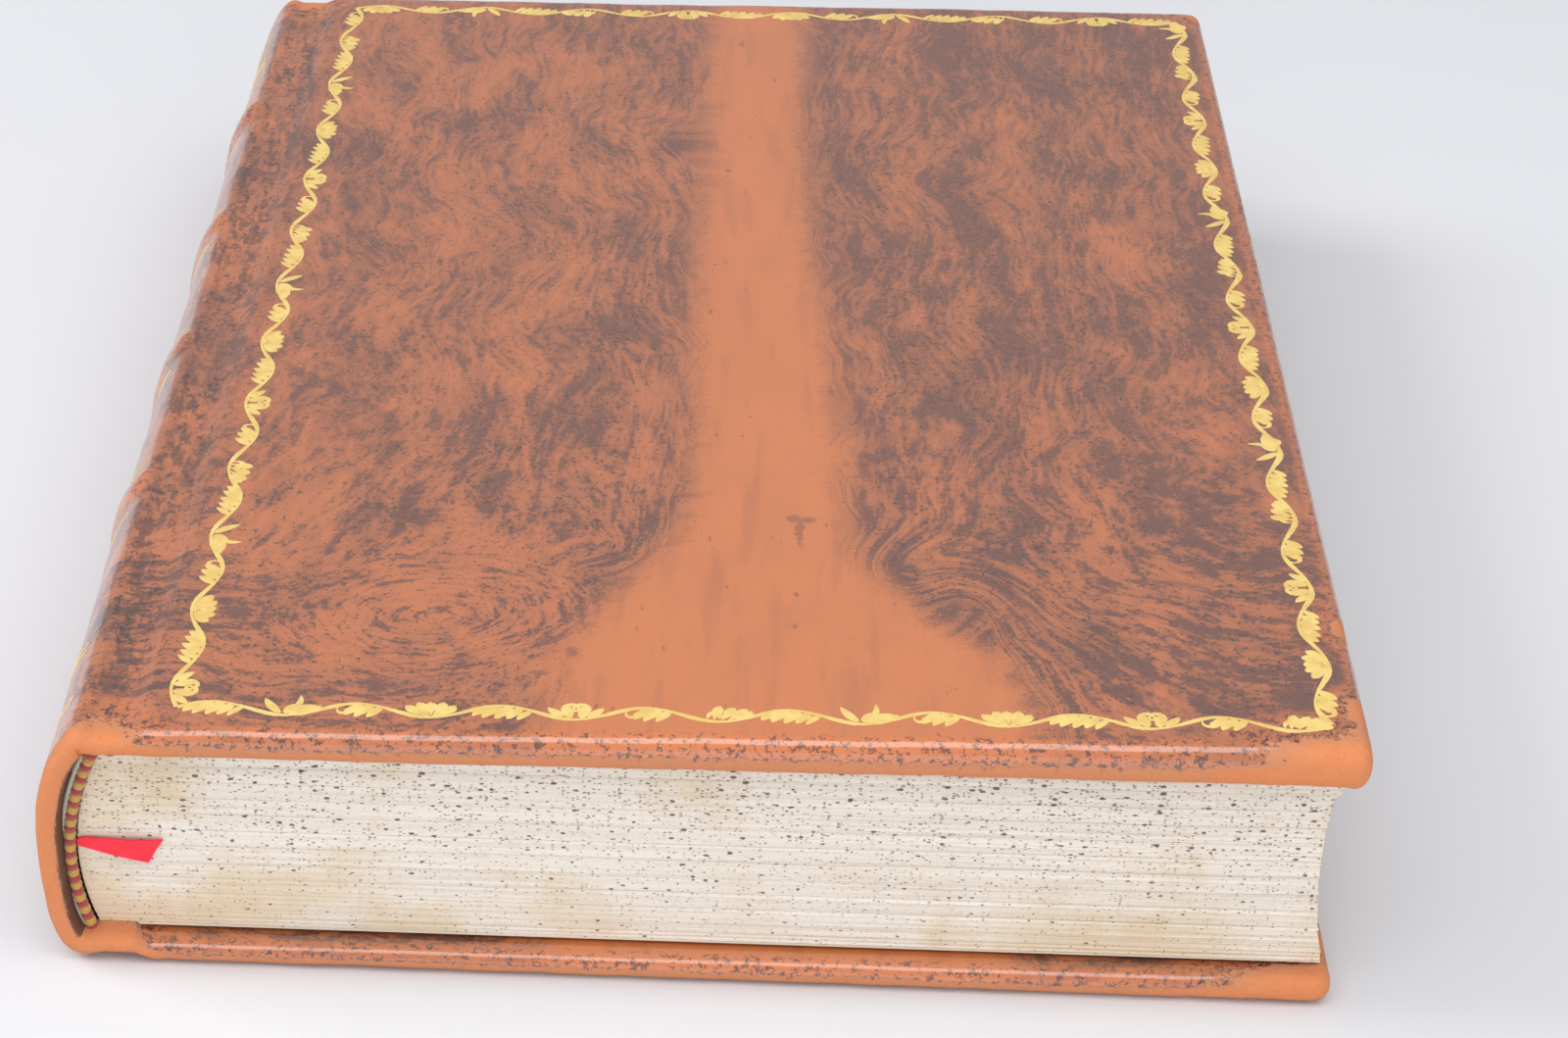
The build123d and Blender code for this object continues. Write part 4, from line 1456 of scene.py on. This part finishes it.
# ------------------------------------------------------------------ leaves
@dataclass
class Leaves:
    """The trimmed leaves: a block with a hollow fore-edge, a round spine and uneven leaves."""

    places: Places
    rows: int = 150
    hollow: float = 1.1
    first_leaves: float = 0.55
    first_share: float = 0.9
    relief: float = 0.07
    ragged: float = 0.07
    gap_depth: float = 0.06
    gatherings: int = 11
    end_steps: int = 60
    side_steps: int = 44

    def plan(self, spine_x: Array, fore_x: Array) -> Array:
        """Outline of every level: along the tail, up the fore-edge, back and down the spine.

        Args:
            spine_x: Place of the spine edge at each level.
            fore_x: Place of the fore-edge at each level.

        Returns:
            Places, levels by steps by two.
        """
        half = self.places.page_half
        corners = [(spine_x, -half), (fore_x, -half), (fore_x, half), (spine_x, half)]
        walls = []
        for k, steps in enumerate((self.end_steps, self.side_steps) * 2):
            (x0, y0), (x1, y1) = corners[k], corners[(k + 1) % 4]
            share = np.linspace(0.0, 1.0, steps, endpoint=False)
            x = x0[:, None] + (x1 - x0)[:, None] * share
            walls.append(np.stack([x, np.broadcast_to(y0 + (y1 - y0) * share, x.shape)], axis=-1))
        return np.concatenate(walls, axis=1)

    def block(self) -> Shape:
        """The block: rings round its four edges, stacked from the last leaf to the first.

        Returns:
            The closed surface, with the run round the edges and the share of height as UV.
        """
        p = self.places
        t = np.linspace(0.0, 1.0, self.rows)
        fore_x = bowed(t, p.x_fore_bottom, p.x_fore_top, -self.hollow)
        rng = np.random.default_rng(21)
        jitter = rng.normal(size=(self.rows, 2))
        fore_x = fore_x + self.first_leaves * smooth_step(t, self.first_share, self.first_share + 0.008)
        plan = self.plan(p.spine_edge(t), fore_x + jitter[:, 0] * self.ragged)
        x, y = plan[..., 0], plan[..., 1]
        bottom, top = p.leaves_bottom.at(x), p.leaves_top.at(x)
        z = bottom + (top - bottom) * t[:, None]
        points = np.stack([x, y, z], axis=-1)
        to_fore = np.clip((x - p.x_crown) / (p.x_fore - p.x_crown), 0.0, 1.0)
        along = soft_noise(np.stack([x * 0.3, y * 0.3, z * 9.0], axis=-1), 6.0, 22)
        gap = 1.0 - np.abs(2.0 * ((t * self.gatherings) % 1.0) - 1.0)
        gap = smooth_step(-gap, -0.16, 0.0)[:, None]
        depth = (jitter[:, 1:2] * 0.6 + along * 0.6) * self.relief * (0.4 + to_fore)
        depth = depth - gap * self.gap_depth * (0.25 + to_fore)
        at_end = np.isclose(np.abs(y), p.page_half)
        points[..., 1] += np.where(at_end, np.sign(y) * (depth - 0.05), 0.0)
        points[..., 0] += np.where(at_end, 0.0, np.where(x > 0, depth, 0.0))
        shape = Shape.grid(points.transpose(1, 0, 2), closed=True)
        u, v = np.meshgrid(run_along(plan[0]) * UV_PER_MM, t, indexing="ij")
        shape.uv = np.stack([u.ravel(), v.ravel()], axis=1)
        index = np.arange(len(shape.points)).reshape(plan.shape[1], self.rows)
        shape.faces += [index[::-1, 0][None, :], index[:, -1][None, :]]
        return shape

    def make(self) -> list[bpy.types.Object]:
        """Build the block and hang it on its body.

        Returns:
            The piece.
        """
        piece = self.block().build("page_block", Finish.PAGES.material(), crease=50.0)
        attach(piece, "book_block")
        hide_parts("text_block")
        return [piece]


# ------------------------------------------------------------------ endbands
@dataclass
class Endbands:
    """Sewn endbands: silk beads over a strip along the leaves, and a plain core behind them."""

    places: Places
    bead: float = 0.82
    silk_r: float = 0.66
    core_r: float = 0.36
    silk_out: float = 0.65
    core_out: float = 1.4
    silk_stands: float = 0.70
    core_stands: float = 0.40
    silk_z: tuple[float, float] = (1.7, 26.2)
    core_z: tuple[float, float] = (2.6, 25.3)
    silk_sides: int = 14
    core_sides: int = 10
    count: int = 260

    def spine_path(self, outside: float, z_ends: tuple[float, float], y: float) -> Array:
        """A path along the round spine edge of the leaves.

        Args:
            outside: Distance outside the edge.
            z_ends: Height of its lower and upper end.
            y: Place along the book.

        Returns:
            Places from the upper end to the lower end.
        """
        p = self.places
        top = float(p.leaves_top.at(p.x_leaves_top))
        bottom = float(p.leaves_bottom.at(p.x_leaves_bottom))
        z = np.linspace(z_ends[1], z_ends[0], self.count)
        x = p.spine_edge((z - bottom) / (top - bottom))
        lean = np.gradient(x, z)
        norm = np.sqrt(1 + lean**2)
        return np.stack([x - outside / norm, np.full(self.count, y), z + outside * lean / norm], axis=1)

    def silk(self, end: int) -> Shape:
        """The silk: a cord whose radius swells at each bead.

        Args:
            end: -1 for the tail and 1 for the head.

        Returns:
            The surface.
        """
        y = end * (self.places.page_half + self.silk_stands)
        path = self.spine_path(self.silk_out, self.silk_z, y)
        beads = np.abs(np.sin(np.pi * run_along(path) / self.bead))
        radius = self.silk_r * (0.8 + 0.2 * beads)
        return tube(path, radius, self.silk_sides, np.array([0.0, 1.0, 0.0]))

    def core(self, end: int) -> Shape:
        """The plain core behind the beads.

        Args:
            end: -1 for the tail and 1 for the head.

        Returns:
            The surface.
        """
        y = end * (self.places.page_half + self.core_stands)
        path = self.spine_path(self.core_out, self.core_z, y)
        wobble = soft_noise(path, 2.0, 31) * 0.06
        return tube(path, self.core_r + wobble, self.core_sides, np.array([0.0, 1.0, 0.0]))

    def make(self) -> list[bpy.types.Object]:
        """Build both endbands and hang them on their body.

        Returns:
            The pieces.
        """
        pieces = []
        for end, name in ((-1, "tail"), (1, "head")):
            silk = self.silk(end).build(f"{name}_silk_beads", Finish.SILK.material())
            core = self.core(end).build(f"{name}_endband_strip", Finish.CORE.material())
            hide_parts(f"{name}_endband_silk")
            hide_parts(f"{name}_endband_core")
            pieces += [silk, core]
        for piece in pieces:
            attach(piece, "book_block")
        return pieces


# ------------------------------------------------------------------ ribbon
@dataclass
class Ribbon:
    """The ribbon marker: glued at the head, run through the leaves and out over the tail."""

    places: Places
    width: float = 3.3
    thick: float = 0.22
    tip_grid: tuple[int, int] = (26, 9)
    run_grid: tuple[int, int] = (90, 5)
    tip_gap: float = 0.32
    exit_x: float = -64.3
    exit_z: tuple[float, float] = (13.4, 14.1)
    cut_x: tuple[float, float] = (-56.9, -55.3)
    cut_z: tuple[float, float] = (11.6, 14.6)

    def tip(self) -> Shape:
        """The free tip: a strip that opens from its pinched exit to its slanting cut end."""
        rows, columns = self.tip_grid
        t = np.linspace(0.0, 1.0, rows)[:, None]
        share = np.linspace(0.0, 1.0, columns)[None, :]
        x_low, x_top = (self.exit_x + (x - self.exit_x) * t for x in self.cut_x)
        (exit_low, exit_top), (cut_low, cut_top) = self.exit_z, self.cut_z
        z_low = exit_low + (cut_low - exit_low) * t**1.1
        z_top = exit_top + (cut_top - exit_top) * t + 0.45 * np.sin(np.pi * t**0.5) * (1.0 - t)
        x = x_low + (x_top - x_low) * share
        z = z_low + (z_top - z_low) * share
        curl = 0.28 * np.sin(np.pi * t) ** 0.8 + 0.10 * np.cos(share * 2 * np.pi) * t
        y = -self.places.page_half - self.tip_gap - curl - 0.12 * t
        points = np.stack([x, y, z], axis=-1)
        return Shape.grid(points).walled(rows, columns, self.thick)

    def run(self) -> Shape:
        """The hidden run: from the spine at the head, over the head edge and down the leaves."""
        p = self.places
        rows, columns = self.run_grid
        x_in = p.x_crown + 3.0
        middle = (float(p.leaves_top.at(x_in)) + float(p.leaves_bottom.at(x_in))) / 2
        half = p.page_half
        path = smooth_curve([
            (x_in - 3.6, half - 17.0), (x_in - 3.45, half - 13.0), (x_in - 3.4, half - 1.0),
            (x_in - 1.4, half + 0.42), (x_in - 0.4, half + 0.1), (x_in - 0.3, half - 4.0),
            (x_in - 0.3, 0.0), (x_in - 0.3, 0.3 - half), (x_in - 0.3, -half),
        ], rows)
        z = middle + np.linspace(-0.5, 0.5, columns)[None, :] * self.width
        points = np.stack(np.broadcast_arrays(path[:, 0:1], path[:, 1:2], z), axis=-1)
        return Shape.grid(points, flip=True).walled(rows, columns, self.thick)

    def make(self) -> list[bpy.types.Object]:
        """Build the ribbon and hang it on its body.

        Returns:
            The piece.
        """
        piece = Shape.joined([self.tip(), self.run()]).build("ribbon_silk_strip", Finish.RIBBON.material())
        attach(piece, "book_block")
        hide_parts("ribbon_marker")
        return [piece]


# ------------------------------------------------------------------ carried-over nodes
CARRIED = {
    Finish.ENDPAPER: ("front_flyleaf", "back_flyleaf", "front_pastedown", "back_pastedown"),
    Finish.INFILL: ("front_infill", "back_infill"),
    Finish.BOARD: ("front_board", "back_board"),
    Finish.CARD: ("spine_inlay", "raised_band_1", "raised_band_2", "raised_band_3", "raised_band_4"),
    Finish.LINEN: ("spine_lining",),
    Finish.HEMP: tuple(f"sewing_cord_{number}" for number in range(1, 6)),
}


def dress_nodes() -> None:
    """Give each node that is shown as packed its own finish."""
    for finish, names in CARRIED.items():
        for name in names:
            mesh = frame["nodes"][name].data
            mesh.materials.clear()
            mesh.materials.append(finish.material())
        log.info("%s on %s", finish.name.lower(), ", ".join(names))


# ------------------------------------------------------------------ studio
@dataclass(frozen=True)
class Studio:
    """Pale floor, soft even light and the camera."""

    pitch: float = 31.948
    roll: float = -3.144
    yaw: float = 1.542
    eye: Triple = (-0.55, -383.18, 239.88)
    lens: float = 81.0
    sensor: float = 36.0
    floor_colour: Colour = (0.71, 0.715, 0.74)
    world_colour: Colour = (0.95, 0.96, 1.0)
    world_strength: float = 0.47
    world_mirrored: float = 0.42

    def camera(self) -> None:
        """The camera: level with the book's long side, turned by yaw, pitch and roll."""
        pitch, roll, yaw = (math.radians(a) for a in (self.pitch, self.roll, self.yaw))
        ahead = Vector((math.sin(yaw), math.cos(yaw), 0.0))
        right = Vector((math.cos(yaw), -math.sin(yaw), 0.0))
        up = Vector((0.0, 0.0, 1.0))
        look = ahead * math.cos(pitch) - up * math.sin(pitch)
        down = -(up * math.cos(pitch) + ahead * math.sin(pitch))
        across = right * math.cos(roll) + down * math.sin(roll)
        over = right * math.sin(roll) - down * math.cos(roll)
        data = bpy.data.cameras.new("camera")
        data.lens = self.lens
        data.sensor_width = self.sensor
        data.clip_start = 0.01
        camera = bpy.data.objects.new("camera", data)
        columns = Matrix((across, over, -look)).transposed()
        camera.matrix_world = Matrix.Translation(Vector(self.eye) * MM) @ columns.to_4x4()
        bpy.context.scene.collection.objects.link(camera)
        bpy.context.scene.camera = camera

    def lamp(self, name: str, place: Triple, size: tuple[float, float], power: float,
             mirrored: bool = False) -> None:
        """A soft oblong lamp that looks at the book.

        Args:
            name: Name of the lamp.
            place: Where it hangs, in metres.
            size: Its sides, in metres.
            power: Its power, in watts.
            mirrored: True if polished surfaces show its highlight.
        """
        data = bpy.data.lights.new(name, "AREA")
        data.shape = "RECTANGLE"
        data.size, data.size_y = size
        data.energy = power
        lamp = bpy.data.objects.new(name, data)
        lamp.visible_glossy = mirrored
        lamp.location = place
        lamp.rotation_euler = (-Vector(place)).to_track_quat("-Z", "Y").to_euler()
        bpy.context.scene.collection.objects.link(lamp)

    def floor(self) -> None:
        """A wide pale floor that keeps the shadow."""
        paint = Paint("floor", roughness=0.9)
        cloud = paint.noise(paint.place(), 0.004, 1.0)
        darker = tuple(0.985 * c for c in self.floor_colour)
        paint.colour(paint.mix(cloud, self.floor_colour, darker))
        reach = 6000.0
        corners = np.array([[(x, y, 0.0) for y in (-reach, reach)] for x in (-reach, reach)])
        Shape.grid(corners).build("floor", paint.material)

    def make(self) -> None:
        """Set up the studio."""
        scene = bpy.context.scene
        scene.view_settings.view_transform = "Standard"
        world = bpy.data.worlds.new("world")
        world.use_nodes = True
        sky = world.node_tree.nodes["Background"]
        sky.inputs["Color"].default_value = (*self.world_colour, 1.0)
        path = world.node_tree.nodes.new("ShaderNodeLightPath")
        dim = world.node_tree.nodes.new("ShaderNodeMapRange")
        dim.inputs["To Min"].default_value = self.world_strength
        dim.inputs["To Max"].default_value = self.world_mirrored
        world.node_tree.links.new(path.outputs["Is Glossy Ray"], dim.inputs["Value"])
        world.node_tree.links.new(dim.outputs[0], sky.inputs["Strength"])
        scene.world = world
        self.camera()
        self.floor()
        self.lamp("lamp_left", (-1.5, 0.2, 1.2), (0.8, 0.8), 15.5)
        self.lamp("lamp_over", (0.0, -0.28, 0.76), (1.3, 0.6), 4.6, mirrored=True)
        self.lamp("lamp_front", (0.1, -1.1, 0.32), (0.9, 0.5), 5.0)


def main() -> None:
    """Build the book, dress its nodes and light it."""
    logging.basicConfig(level=logging.INFO, format="%(name)s: %(message)s")
    places = Places()
    binding = Binding(places)
    parts = [binding, Leaves(places), Endbands(places), Ribbon(places), GiltRoll(places, binding)]
    for part in parts:
        for piece in part.make():
            log.info("%s: %d faces", piece.name, len(piece.data.polygons))
    dress_nodes()
    Studio().make()


if __name__ == "__main__":
    main()
